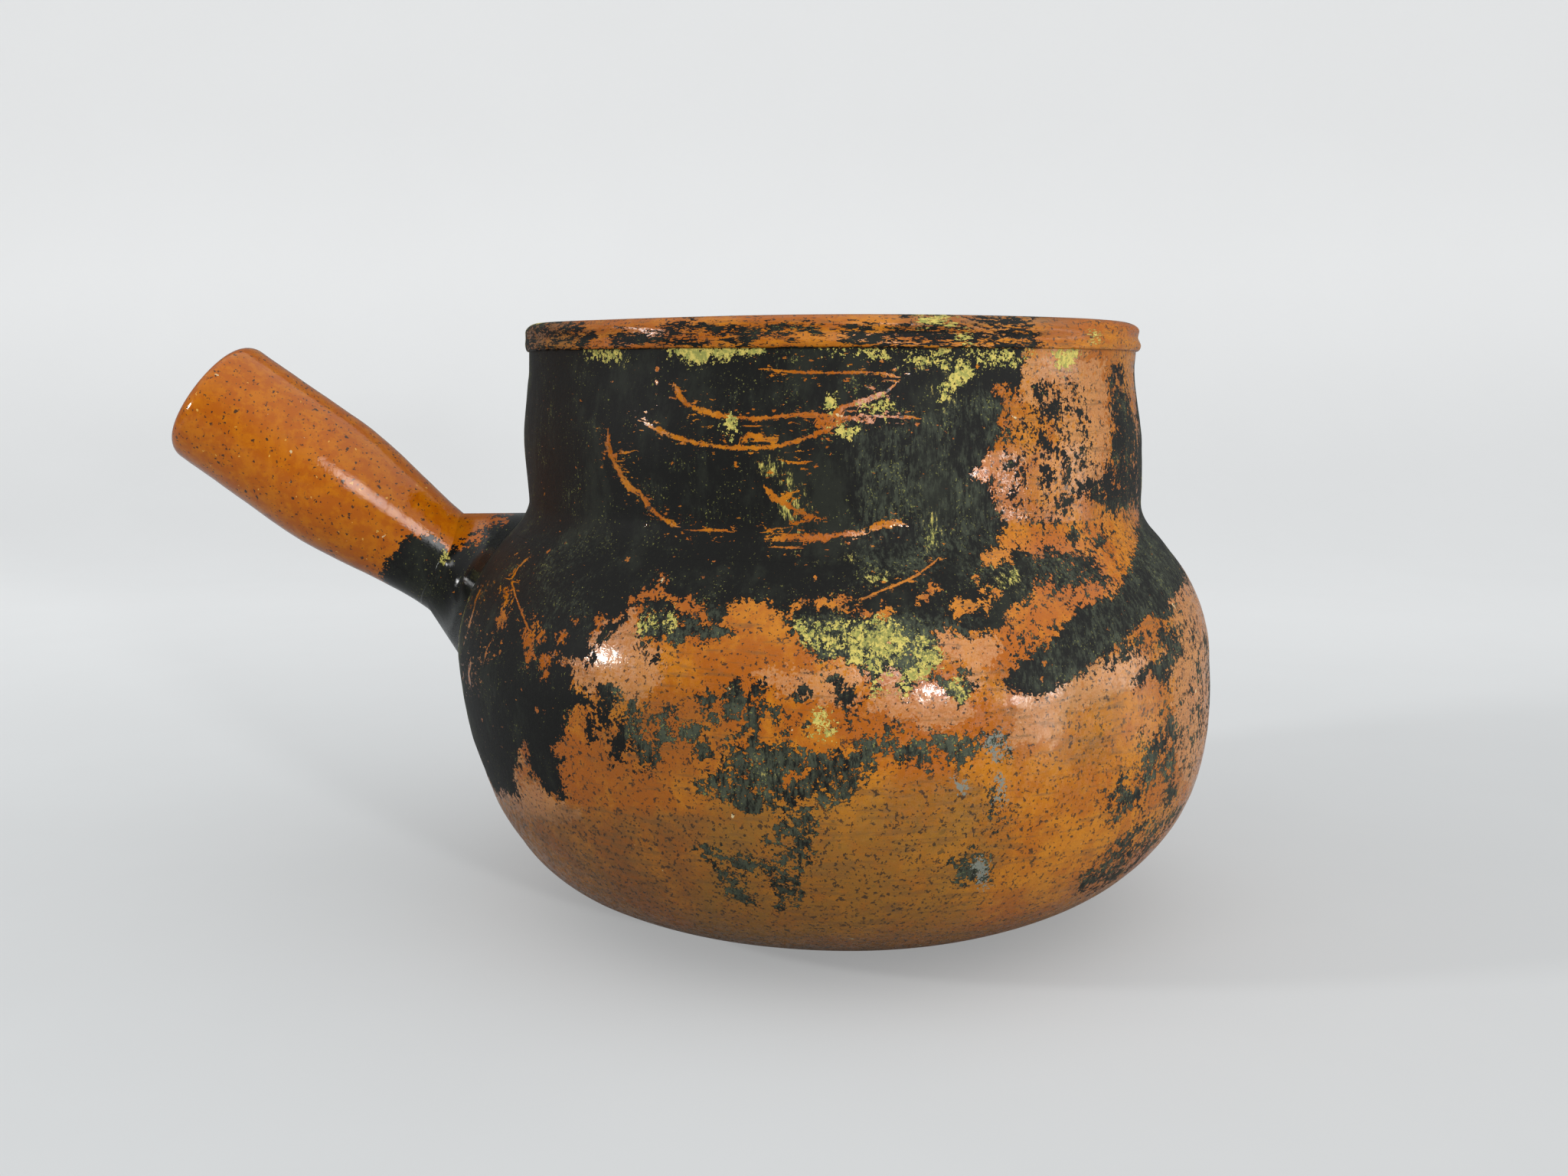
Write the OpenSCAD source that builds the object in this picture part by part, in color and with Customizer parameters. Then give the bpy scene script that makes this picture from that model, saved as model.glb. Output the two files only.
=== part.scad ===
// Glazed terracotta cooking pot: a thrown round belly, a tall collar with a folded lip,
// and a hollow thrown handle luted to the shoulder.
// Millimetres. The pot stands on z = 0, its axis is the Z axis, and the handle points to -X.

/* [Belly] */
// Largest outer radius of the belly
belly_r = 133.5; // [125:0.5:142]
// Height of that largest radius above the base
belly_z = 95; // [88:0.5:102]
// Radius of the flat foot that the pot stands on
foot_r = 45; // [38:0.5:60]
// Height from the largest radius to where the shoulder curve would close over the pot
shoulder_h = 86.5; // [82:0.5:94]
// Fullness of the belly below its largest radius (2 is an ellipse, more is boxier)
lower_fullness = 2.75; // [2.4:0.05:3]
// Fullness of the shoulder above it
shoulder_fullness = 1.95; // [1.8:0.05:2.3]
// Thickness of the belly's wall
belly_wall = 6; // [4.5:0.1:8]
// Thickness of the floor in the middle
floor_t = 8; // [6:0.1:11]

/* [Collar] */
// Outer radius of the collar in its lower, straight part
neck_r = 109.5; // [107:0.5:114]
// How far the collar is drawn in under the lip
neck_draw_in = 3.3; // [2.7:0.1:5]
// Height of the collar, from its seat on the shoulder to the clay under the lip's cap
neck_h = 65.5; // [60:0.5:80]
// Thickness of the collar's wall
neck_wall = 5.5; // [4.5:0.1:7]
// Height above the seat at which the collar starts to draw in
neck_straight_h = 27; // [15:0.5:34]
// Height above the seat at which it has drawn in to its upper radius
neck_drawn_h = 55; // [40:0.5:58]
// Height of the scored ridge that keys the collar's foot to the belly's rim
joint_key_h = 2; // [1:0.1:3]
// How far the clay fillet round the collar's foot reaches down the shoulder
coil_drop = 2; // [1.5:0.1:4]
// How far that fillet climbs the collar above the seat
coil_rise = 10; // [8:0.5:14]

/* [Lip] */
// How far the folded lip band stands out from the collar under it
lip_overhang = 1.2; // [0.8:0.1:3.5]
// Height of the band, from its undercut lower edge to the rim
lip_h = 9.5; // [8:0.5:13]
// Clay of the band over the top of the collar
lip_cap = 4; // [3:0.1:5]
// Rounding of the band's upper outer edge
lip_round = 3.8; // [2:0.1:4]
// Rounding of the rim's inner edge
lip_inner_round = 1.6; // [1:0.1:2]
// Height of the undercut behind the band's sharp lower edge
lip_undercut = 1; // [0.5:0.1:2]
// Length of the burr of clay that hangs from the band at its closed end
burr_h = 5; // [2:0.5:7]
// Width of that burr where it leaves the band
burr_w = 4; // [2:0.5:5]
// Width of its lower end
burr_tip_w = 2; // [1:0.5:3]

/* [Handle] */
// Tilt of the handle above the horizontal
handle_tilt = 35.5; // [32:0.5:40]
// Height on the outer wall where the axis of the handle leaves it
handle_root_z = 116; // [111:0.5:119]
// Length of the handle along its axis, from the wall to its open end
handle_len = 119; // [100:0.5:140]
// Outer radius of the handle at its root
handle_root_r = 17.8; // [16.5:0.1:20]
// Outer radius of the handle at the grip
handle_grip_r = 24; // [22:0.1:27]
// Distance from the wall at which the handle starts to swell
handle_slim = 11; // [0:0.5:20]
// Distance from the wall at which it has swelled to the grip
handle_swell = 71; // [55:0.5:85]
// Thickness of the handle's wall
handle_wall = 7; // [6:0.1:8]
// Rounding of the outer edge of the open end
handle_end_round = 5.8; // [3:0.1:5.8]
// Distance from the wall at which the luting clay starts on the handle
weld_reach = 12; // [9:0.5:14]
// Radius with which the luting clay flares from the handle to the wall
weld_flare = 12; // [10:0.5:16]
// How far the luting clay sits above the middle of the root, towards the collar
weld_lift = 1.5; // [0:0.1:2.5]

/* [Glaze] */
// Thickness of the glaze that lines the inside
glaze_t = 0.6; // [0.4:0.1:1.2]

/* [Hidden] */
$fn = 240;
clay = "#b5602b";
luting_clay = "#a4521f";
lining = "#8a4a1c";
// Segments of the curves that are turned round the axis
belly_steps = 20;
shoulder_steps = 16;
neck_steps = 12;
round_steps = 5;
handle_steps = 14;
fillet_steps = 6;
weld_steps = 6;
// How far a piece is carried into its neighbour before it is cut to it
overlap = 20;
// How deep the luting clay is carried into the body, and sunk in the handle, before it is cut
weld_depth = 12;
weld_sink = 0.3;
// Step along the height over which the slope of the shoulder is read
slope_step = 0.1;

// Half height of the lower curve, so that it is cut at z = 0 with the foot's radius
lower_h = belly_z / superellipse(foot_r / belly_r, lower_fullness);
neck_in_r = neck_r - neck_wall;
// Outer radius of the collar under the lip, and of the folded band
neck_top_r = neck_r - neck_draw_in;
lip_r = neck_top_r + lip_overhang;
// Radius of the scored ridge, in the middle of the collar's wall
key_r = neck_r - neck_wall / 2;
// The collar is seated where the belly's inner wall has closed to the collar's inner radius
seat_z = belly_z + (shoulder_h - belly_wall)
    * superellipse(neck_in_r / (belly_r - belly_wall), shoulder_fullness);
neck_top_z = seat_z + neck_h;
rim_z = neck_top_z + lip_cap;
lip_low_z = rim_z - lip_h;
lip_in_r = neck_top_r - neck_wall;
handle_root_x = -shoulder_r(handle_root_z);
// Tilt of the outer wall's normal at the root, about which the luting clay flares
root_slope = (-handle_root_x - shoulder_r(handle_root_z + slope_step)) / slope_step;
root_tilt = atan(root_slope);
// Radius at which the luting clay starts, just inside the handle's under side
weld_r = handle_r(weld_reach) + weld_lift - weld_sink
    - weld_reach * tan(handle_tilt - root_tilt);

// The other side of a superellipse of exponent n, for a share x of its first side
function superellipse(x, n) = pow(1 - pow(x, n), 1 / n);
function smooth_step(x) = let (t = min(max(x, 0), 1)) t * t * (3 - 2 * t);

// Radius of the outer wall at a height z below and above the largest radius
function lower_r(z, inset = 0, half_h = lower_h) =
    (belly_r - inset) * superellipse((belly_z - z) / half_h, lower_fullness);
function shoulder_r(z, inset = 0) =
    (belly_r - inset) * superellipse((z - belly_z) / (shoulder_h - inset), shoulder_fullness);
function neck_wall_r(z) =
    neck_r - (neck_r - neck_top_r)
    * smooth_step((z - seat_z - neck_straight_h) / (neck_drawn_h - neck_straight_h));

// Points [r, z] of the belly's outer wall, from the foot to the seat
function outer_belly() = concat(
    [for (i = [0 : belly_steps - 1])
        let (z = belly_z * (1 - cos(90 * i / belly_steps))) [lower_r(z), z]],
    [for (i = [0 : shoulder_steps])
        let (z = belly_z + (seat_z - belly_z) * i / shoulder_steps) [shoulder_r(z), z]]);
// Points of the belly's inner wall, inset from the outer wall, from the floor to the seat
function inner_belly(inset, floor_z) = concat(
    [for (i = [0 : belly_steps - 1])
        let (z = belly_z - (belly_z - floor_z) * cos(90 * i / belly_steps))
        [lower_r(z, inset, belly_z - floor_z), z]],
    [for (i = [0 : shoulder_steps])
        let (z = belly_z + (seat_z - belly_z) * i / shoulder_steps) [shoulder_r(z, inset), z]]);
// Points of the collar's wall, inset from its outer face, from the seat to its top
function neck_points(inset) =
    [for (i = [0 : neck_steps])
        let (z = seat_z + neck_h * i / neck_steps) [neck_wall_r(z) - inset, z]];
function reversed(list) = [for (i = [len(list) - 1 : -1 : 0]) list[i]];
// Points of a quarter round of radius r about [cx, cz], from the angle a0 to the angle a1
function round_points(cx, cz, r, a0, a1) =
    [for (i = [0 : round_steps])
        let (a = a0 + (a1 - a0) * i / round_steps) [cx + r * cos(a), cz + r * sin(a)]];

// Fillet round the collar's foot: a quadratic curve that is tangent to shoulder and collar
coil_low_z = seat_z - coil_drop;
coil_low_r = shoulder_r(coil_low_z);
coil_slope = (shoulder_r(coil_low_z + slope_step) - coil_low_r) / slope_step;
coil_bend_z = coil_low_z + (neck_r - coil_low_r) / coil_slope;
coil_low = [coil_low_r, coil_low_z];
coil_bend = [neck_r, coil_bend_z];
coil_high = [neck_r, seat_z + coil_rise];
function coil_curve() =
    [for (i = [0 : fillet_steps])
        let (t = i / fillet_steps)
        (1 - t) * (1 - t) * coil_low + 2 * t * (1 - t) * coil_bend + t * t * coil_high];

// The whole outside of the pot as one solid block, that the handle's pieces are cut to
module body_blank() {
    rotate_extrude()
        polygon(concat(
            [[0, 0]],
            [for (p = outer_belly()) if (p[1] < coil_low_z) p],
            coil_curve(),
            [for (p = neck_points(0)) if (p[1] > coil_high[1]) p],
            [[0, neck_top_z]]));
}

// Outer radius of the handle at a distance t from the wall, which swells smoothly to the grip
function handle_r(t) =
    handle_root_r + (handle_grip_r - handle_root_r)
    * smooth_step((t - handle_slim) / (handle_swell - handle_slim));
// Points of the handle's outer side, from inside the wall to the rounding of its end
function handle_side(inset) =
    [for (i = [0 : handle_steps])
        let (t = -overlap + (handle_len - handle_end_round + overlap) * i / handle_steps)
        [handle_r(t) - inset, t]];

// Puts children drawn along +Z on the axis of the handle, with z = 0 at the outer wall
module on_handle_axis() {
    translate([handle_root_x, 0, handle_root_z])
        rotate([0, handle_tilt - 90, 0])
            children();
}

// The outside of the handle as one solid, with its rounded end
module handle_blank() {
    on_handle_axis()
        rotate_extrude()
            polygon(concat(
                [[0, -overlap]],
                handle_side(0),
                round_points(handle_grip_r - handle_end_round, handle_len - handle_end_round,
                             handle_end_round, 0, 90),
                [[0, handle_len]]));
}

// Thrown floor, round wall and shoulder, with the keyed rim that the collar is set on
module belly() {
    color(clay)
        rotate_extrude()
            polygon(concat(
                [[0, 0]],
                outer_belly(),
                [[neck_r, seat_z],
                 [key_r, seat_z + joint_key_h]],
                reversed(inner_belly(belly_wall, floor_t))));
}

// Thrown collar, set on the belly's rim
module neck() {
    color(clay)
        rotate_extrude()
            polygon(concat(
                [[key_r, seat_z + joint_key_h]],
                neck_points(0),
                reversed(neck_points(neck_wall))));
}

// Clay pressed into the angle between collar and shoulder
module neck_coil() {
    color(luting_clay)
        rotate_extrude()
            polygon(concat(
                [[neck_r, seat_z]],
                [[shoulder_r(seat_z), seat_z]],
                coil_curve()));
}

// Lip folded over the collar's top, with a sharp undercut lower edge and its burr
module lip_band() {
    color(clay)
        union() {
            rotate_extrude()
                polygon(concat(
                    [[neck_top_r, neck_top_z],
                     [neck_top_r, lip_low_z + lip_undercut],
                     [lip_r, lip_low_z]],
                    round_points(lip_r - lip_round, rim_z - lip_round, lip_round, 0, 90),
                    round_points(lip_in_r + lip_inner_round, rim_z - lip_inner_round,
                                 lip_inner_round, 90, 180),
                    [[lip_in_r, neck_top_z]]));
            translate([lip_r - burr_w / 2, 0, lip_low_z + lip_undercut - burr_h])
                cylinder(h = burr_h, d1 = burr_tip_w, d2 = burr_w);
        }
}

// Thrown hollow handle: a club-shaped tube, open at its rounded end, cut to the belly
module handle_tube() {
    color(clay)
        difference() {
            handle_blank();
            on_handle_axis()
                rotate_extrude()
                    polygon(concat(
                        [[0, -overlap]],
                        handle_side(handle_wall),
                        [[handle_grip_r - handle_wall, handle_len],
                         [handle_grip_r - handle_wall, handle_len + overlap],
                         [0, handle_len + overlap]]));
            body_blank();
        }
}

// Luting clay worked round the root of the handle, up to the foot of the collar
module handle_weld() {
    color(luting_clay)
        difference() {
            translate([handle_root_x + weld_lift * sin(root_tilt), 0,
                       handle_root_z + weld_lift * cos(root_tilt)])
                rotate([0, root_tilt - 90, 0])
                    rotate_extrude()
                        polygon(concat(
                            [[0, -weld_depth]],
                            [for (i = [0 : weld_steps])
                                let (u = (weld_reach + weld_depth) * (1 - i / weld_steps))
                                [weld_r + u * u / (2 * weld_flare), weld_reach - u]],
                            [[0, weld_reach]]));
            handle_blank();
            body_blank();
        }
}

// Coat of glaze over the whole inside, from the floor to the rounding of the rim
module lining_glaze() {
    color(lining)
        rotate_extrude()
            polygon(concat(
                inner_belly(belly_wall, floor_t),
                neck_points(neck_wall),
                [[lip_in_r, rim_z - lip_inner_round],
                 [lip_in_r - glaze_t, rim_z - lip_inner_round]],
                reversed(neck_points(neck_wall + glaze_t)),
                reversed(inner_belly(belly_wall + glaze_t, floor_t + glaze_t))));
}

belly();
neck();
neck_coil();
lip_band();
handle_tube();
handle_weld();
lining_glaze();
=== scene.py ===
"""Looks of the glazed terracotta pot: thrown and luted clay, glossy orange-brown glaze, and the
flaked remains of black and ochre paint. Lengths in the functions are millimetres, and meshes
are written in metres. Angles round the pot are measured from -Y, the side that the photograph
shows, towards +X. The handle is on -X.
"""

import math

import bpy
import numpy as np
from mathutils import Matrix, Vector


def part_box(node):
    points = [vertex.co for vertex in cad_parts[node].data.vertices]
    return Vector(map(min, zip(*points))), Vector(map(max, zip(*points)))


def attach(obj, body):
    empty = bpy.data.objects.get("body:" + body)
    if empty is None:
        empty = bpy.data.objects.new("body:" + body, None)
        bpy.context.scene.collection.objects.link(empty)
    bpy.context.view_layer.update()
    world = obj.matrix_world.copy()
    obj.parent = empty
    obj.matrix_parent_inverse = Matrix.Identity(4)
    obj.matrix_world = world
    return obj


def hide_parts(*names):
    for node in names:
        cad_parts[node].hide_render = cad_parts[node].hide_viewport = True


bl_info = {
    "name": "Glazed Terracotta Pot",
    "version": (1, 0, 0),
    "blender": (4, 5, 0),
    "location": "3D View > Sidebar > Clay Pot",
    "description": "Builds a thrown, glazed and painted cooking pot round its packed model",
    "category": "Object",
}

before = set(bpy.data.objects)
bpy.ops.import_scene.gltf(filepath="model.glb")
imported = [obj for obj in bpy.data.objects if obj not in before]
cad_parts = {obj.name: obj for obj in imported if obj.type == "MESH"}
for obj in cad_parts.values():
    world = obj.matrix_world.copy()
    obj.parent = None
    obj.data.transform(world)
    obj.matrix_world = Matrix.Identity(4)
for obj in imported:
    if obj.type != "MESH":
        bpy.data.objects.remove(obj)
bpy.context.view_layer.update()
MM = 0.001

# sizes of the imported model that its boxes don't give
BELLY_Z = 95.0
FOOT_R = 45.0
SHOULDER_H = 86.5
LOWER_FULLNESS = 2.75
SHOULDER_FULLNESS = 1.95
BELLY_WALL = 6.0
FLOOR_T = 8.0
NECK_WALL = 5.5
NECK_DRAW_IN = 3.3
NECK_STRAIGHT_H = 27.0
NECK_DRAWN_H = 55.0
COIL_DROP = 2.0
COIL_RISE = 10.0
LIP_H = 9.5
LIP_CAP = 4.0
LIP_ROUND = 3.8
LIP_INNER_ROUND = 1.6
LINING_T = 0.6
HANDLE_TILT = 35.5
HANDLE_ROOT_Z = 116.0
HANDLE_LEN = 119.0
HANDLE_ROOT_R = 17.8
HANDLE_SLIM = 11.0
HANDLE_SWELL = 71.0
HANDLE_WALL = 7.0
HANDLE_END_ROUND = 5.8

# hollow of the foot, and rounding of the edge between the handle's end and its bore
FOOT_HOLLOW = 0.35
HANDLE_THROAT = 1.2

# columns round the pot: the half of the angle that gets the close ones, and how many each part has
FRONT_HALF = math.radians(88)
FRONT_COLUMNS = 400
BACK_COLUMNS = 160


def node_box(name):
    """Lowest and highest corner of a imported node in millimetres."""
    low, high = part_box(name)
    return np.array(low) / MM, np.array(high) / MM


BELLY_R = node_box("belly")[1][0]
NECK_R = node_box("neck")[1][0]
RIM_Z = node_box("lip_band")[1][2]
HANDLE_GRIP_R = node_box("handle_tube")[1][1]
NECK_TOP_R = NECK_R - NECK_DRAW_IN
LIP_R = node_box("lip_band")[1][0]
NECK_TOP_Z = RIM_Z - LIP_CAP
LIP_LOW_Z = RIM_Z - LIP_H

# camera of the photograph, found by fitting it to the pot's outline; the frame is 2048 x 1536
PHOTO_SIZE = (2048, 1536)
FOCAL = 2050.0
CAMERA_PLACE = (0.0, -568.4, 193.2)
CAMERA_PITCH = 0.13621
CAMERA_YAW = 0.02976

# the windows of the room: name, angle round the pot, height, distance, size, brightness, and
# whether it lights the pot alone and leaves the floor out
WINDOWS = [
    ("window_near", 51.0, 84.0, 1200.0, (85.0, 130.0), 2.6, True),
    ("window_near_low", 54.0, 46.0, 430.0, (60.0, 84.0), 0.24, True),
    ("window_next", 63.0, 110.0, 1200.0, (95.0, 100.0), 1.9, True),
    ("window_far", 86.0, 130.0, 1200.0, (460.0, 250.0), 0.16, True),
    ("window_far_low", 84.0, 46.0, 430.0, (120.0, 84.0), 0.06, True),
    ("window_high", 16.0, 695.0, 1253.0, (360.0, 480.0), 0.55, True),
    ("window_middle", 27.0, 275.0, 1300.0, (110.0, 60.0), 12.0, False),
    ("window_left", -68.0, 440.0, 1230.0, (120.0, 90.0), 7.0, False),
]

# how the hand-thrown wall leaves the true turned one, in millimetres: sideways lean of the
# body at some heights, and swellings of its two sides
LEAN = [(0, 3.0), (23, 3.7), (51, 3.3), (79, 1.25), (95, 0)]
LEFT_SWELL = [(0, 2.0), (16, 5.0), (24, 3.0), (33, 0.6), (57, -0.8), (73, 0), (95, 0.3), (120, 0.2),
              (138, -0.6), (148, -1.75), (164, -0.5), (180, 0.45), (190, 0.95), (200, 0.55)]
RIGHT_SWELL = [(0, 0.6), (18, 0.6), (26, 0), (52, 0), (72, 0.8), (86, 1.1), (114, 0.7), (124, 0.6),
               (131, 0.1), (147, 0.2), (154, 0.5), (175, -0.35), (196, -0.3), (200, 0.1)]


def superellipse(share, fullness):
    """The other side of a superellipse: (1 - share^n)^(1/n)."""
    return np.power(1 - np.power(np.clip(share, 0, 1), fullness), 1 / fullness)


def smooth_step(share):
    """3t^2 - 2t^3 of a share held between 0 and 1."""
    t = np.clip(share, 0, 1)
    return t * t * (3 - 2 * t)


LOWER_H = BELLY_Z / superellipse(FOOT_R / BELLY_R, LOWER_FULLNESS)
SEAT_Z = BELLY_Z + (SHOULDER_H - BELLY_WALL) * superellipse(
    (NECK_R - NECK_WALL) / (BELLY_R - BELLY_WALL), SHOULDER_FULLNESS)
COIL_LOW_Z = SEAT_Z - COIL_DROP
COIL_HIGH_Z = SEAT_Z + COIL_RISE


def shoulder_r(z, inset=0.0):
    """Superellipse above the largest radius, inset by a wall."""
    return (BELLY_R - inset) * superellipse((z - BELLY_Z) / (SHOULDER_H - inset), SHOULDER_FULLNESS)


def lower_r(z, inset=0.0, half_h=LOWER_H):
    """Superellipse below the largest radius."""
    return (BELLY_R - inset) * superellipse((BELLY_Z - z) / half_h, LOWER_FULLNESS)


def neck_r(z):
    """Straight collar that is drawn in by a smooth step under the lip."""
    drawn = smooth_step((z - SEAT_Z - NECK_STRAIGHT_H) / (NECK_DRAWN_H - NECK_STRAIGHT_H))
    return NECK_R - NECK_DRAW_IN * drawn


def coil_curve(count):
    """Quadratic curve of the fillet, tangent to the shoulder and to the collar."""
    step = 0.1
    low = np.array([shoulder_r(COIL_LOW_Z), COIL_LOW_Z])
    slope = (shoulder_r(COIL_LOW_Z + step) - low[0]) / step
    bend = np.array([NECK_R, COIL_LOW_Z + (NECK_R - low[0]) / slope])
    high = np.array([NECK_R, COIL_HIGH_Z])
    t = np.linspace(0, 1, count)[:, None]
    return (1 - t) ** 2 * low + 2 * t * (1 - t) * bend + t * t * high


COIL = coil_curve(80)


def outer_r(z):
    """Outer radius from the foot to the lip, with the fillet."""
    z = np.asarray(z, float)
    body = np.where(z < BELLY_Z, lower_r(z), shoulder_r(np.clip(z, BELLY_Z, COIL_LOW_Z)))
    fillet = np.interp(z, COIL[:, 1], COIL[:, 0])
    return np.where(z > COIL_HIGH_Z, neck_r(z), np.where(z > COIL_LOW_Z, fillet, body))


def table(pairs, z):
    """Straight runs between (height, value) pairs."""
    heights, values = np.array(pairs, float).T
    return np.interp(z, heights, values)


def swell(angle, z):
    """Slow departure from round: the two sides' swellings, each fading as a squared sine."""
    side = np.sin(angle)
    left = table(LEFT_SWELL, z) * np.clip(-side, 0, 1) ** 2
    return left + table(RIGHT_SWELL, z) * np.clip(side, 0, 1) ** 2


def ripple(angle, z, ridge_height):
    """Throwing ridges: three spirals of different pitch whose strength wanders with the height,
    and the soft lumps left by the fingers, which are four times as high."""
    strength = 0.5 + 0.5 * np.sin(z / 23.0 + 1.3 * np.sin(angle))
    spiral = 0.4 * np.sin(z / 1.13 + angle) + np.sin(z / 1.9 - 2 * angle + 1.0)
    spiral = spiral + np.sin(z / 3.1 + angle + 0.4 * np.sin(3 * angle))
    lumps = np.sin(3 * angle + z / 19) * np.sin(z / 31 + 2.0) + 0.7 * np.sin(7 * angle - z / 13)
    return ridge_height * (strength * spiral + 4.0 * lumps)


def on_wall(angle, z, radius):
    """Point of the leaning body at an angle, a height and a radius about the leaning axis."""
    return np.stack([radius * np.sin(angle) + table(LEAN, z), -radius * np.cos(angle),
                     z + 0 * radius], -1)


def even_steps(profile, step):
    """Points of a profile [r, z] laid again at even distances along it."""
    profile = np.asarray(profile, float)
    run = np.r_[0, np.cumsum(np.hypot(*np.diff(profile, axis=0).T))]
    count = max(2, int(round(run[-1] / step)) + 1)
    along = np.linspace(0, run[-1], count)
    return np.c_[np.interp(along, run, profile[:, 0]), np.interp(along, run, profile[:, 1])]


def crisp(profile, corners, gap=0.1):
    """Closed profile with two more points close to each of its corners, so that the shading stays
    even up to them."""
    rows = []
    for number, point in enumerate(profile):
        if number in corners:
            for other in (profile[number - 1], profile[(number + 1) % len(profile)]):
                rows.append(point + (other - point) * gap / np.hypot(*(other - point)))
            rows.insert(-1, point)
        else:
            rows.append(point)
    return np.array(rows)


def round_columns():
    """Angles of the columns round the pot, closer together on the side of the photograph."""
    front = np.linspace(-FRONT_HALF, FRONT_HALF, FRONT_COLUMNS, endpoint=False)
    back = np.linspace(FRONT_HALF, 2 * math.pi - FRONT_HALF, BACK_COLUMNS, endpoint=False)
    return np.r_[front, back]


def closed_grid(name, points, low_pole=None, high_pole=None, loop=False):
    """Mesh of a grid [row, column, 3] whose columns close round. Rows close on a pole at either
    end, or on each other when loop is set. The faces are turned outwards by the signed volume."""
    rows, cols = points.shape[:2]
    vertices = points.reshape(-1, 3)
    index = np.arange(rows * cols).reshape(rows, cols)
    if loop:
        index = np.vstack([index, index[:1]])
    ahead = np.roll(index, -1, axis=1)
    quads = np.stack([index[:-1], ahead[:-1], ahead[1:], index[1:]], -1).reshape(-1, 4)
    fans = []
    for pole, row, turn in ((low_pole, 0, 1), (high_pole, -1, -1)):
        if pole is not None:
            tip = np.full(cols, len(vertices))
            vertices = np.vstack([vertices, pole])
            fans.append(np.stack([tip, ahead[row], index[row]][::turn], -1))
    triangles = np.vstack(fans) if fans else np.zeros((0, 3), int)
    a, b, c, d = (vertices[quads[:, k]] for k in range(4))
    volume = (a * np.cross(b, c)).sum() + (a * np.cross(c, d)).sum()
    a, b, c = (vertices[triangles[:, k]] for k in range(3))
    volume += (a * np.cross(b, c)).sum()
    if volume < 0:
        quads, triangles = quads[:, ::-1], triangles[:, ::-1]
    mesh = bpy.data.meshes.new(name)
    mesh.vertices.add(len(vertices))
    mesh.vertices.foreach_set("co", (vertices * MM).astype(np.float32).ravel())
    mesh.loops.add(quads.size + triangles.size)
    mesh.loops.foreach_set("vertex_index", np.r_[quads.ravel(), triangles.ravel()].astype(np.int32))
    starts = np.r_[np.arange(len(quads)) * 4, quads.size + np.arange(len(triangles)) * 3]
    mesh.polygons.add(len(starts))
    mesh.polygons.foreach_set("loop_start", starts.astype(np.int32))
    mesh.update(calc_edges=True)
    mesh.polygons.foreach_set("use_smooth", np.ones(len(starts), bool))
    mesh.validate()
    piece = bpy.data.objects.new(name, mesh)
    bpy.context.scene.collection.objects.link(piece)
    return piece


def mesh_points(piece):
    """Vertices of a piece in millimetres and their normals."""
    mesh = piece.data
    points, normals = np.zeros((2, len(mesh.vertices), 3), np.float32)
    mesh.vertices.foreach_get("co", points.ravel())
    mesh.vertex_normals.foreach_get("vector", normals.ravel())
    return points.astype(float) / MM, normals.astype(float)


def give_values(piece, name, values):
    """Stores one number per vertex for the material to read."""
    layer = piece.data.attributes.new(name, "FLOAT", "POINT")
    layer.data.foreach_set("value", np.asarray(values, np.float32))


# Remains of ochre that two tables share, in pixels of the photograph's frame
OCHRE_FIELD = [
    [(1042, 814), (1080, 818), (1118, 815), (1140, 812), (1170, 815), (1180, 835), (1178, 856),
     (1160, 872), (1150, 885), (1140, 872), (1132, 862), (1108, 860), (1090, 858), (1070, 850),
     (1054, 838)],
    [(1198, 832), (1222, 842), (1228, 858), (1222, 868), (1205, 880), (1192, 892), (1182, 906),
     (1180, 888), (1195, 868)],
]
OCHRE_LOOP = [
    [(1240, 892), (1255, 890), (1262, 904), (1258, 915), (1245, 908), (1236, 900)],
]
OCHRE_ISLAND = [
    [(838, 812), (850, 800), (862, 799), (856, 815), (845, 826), (836, 826)],
    [(868, 815), (880, 800), (884, 802), (876, 818)],
]

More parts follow.
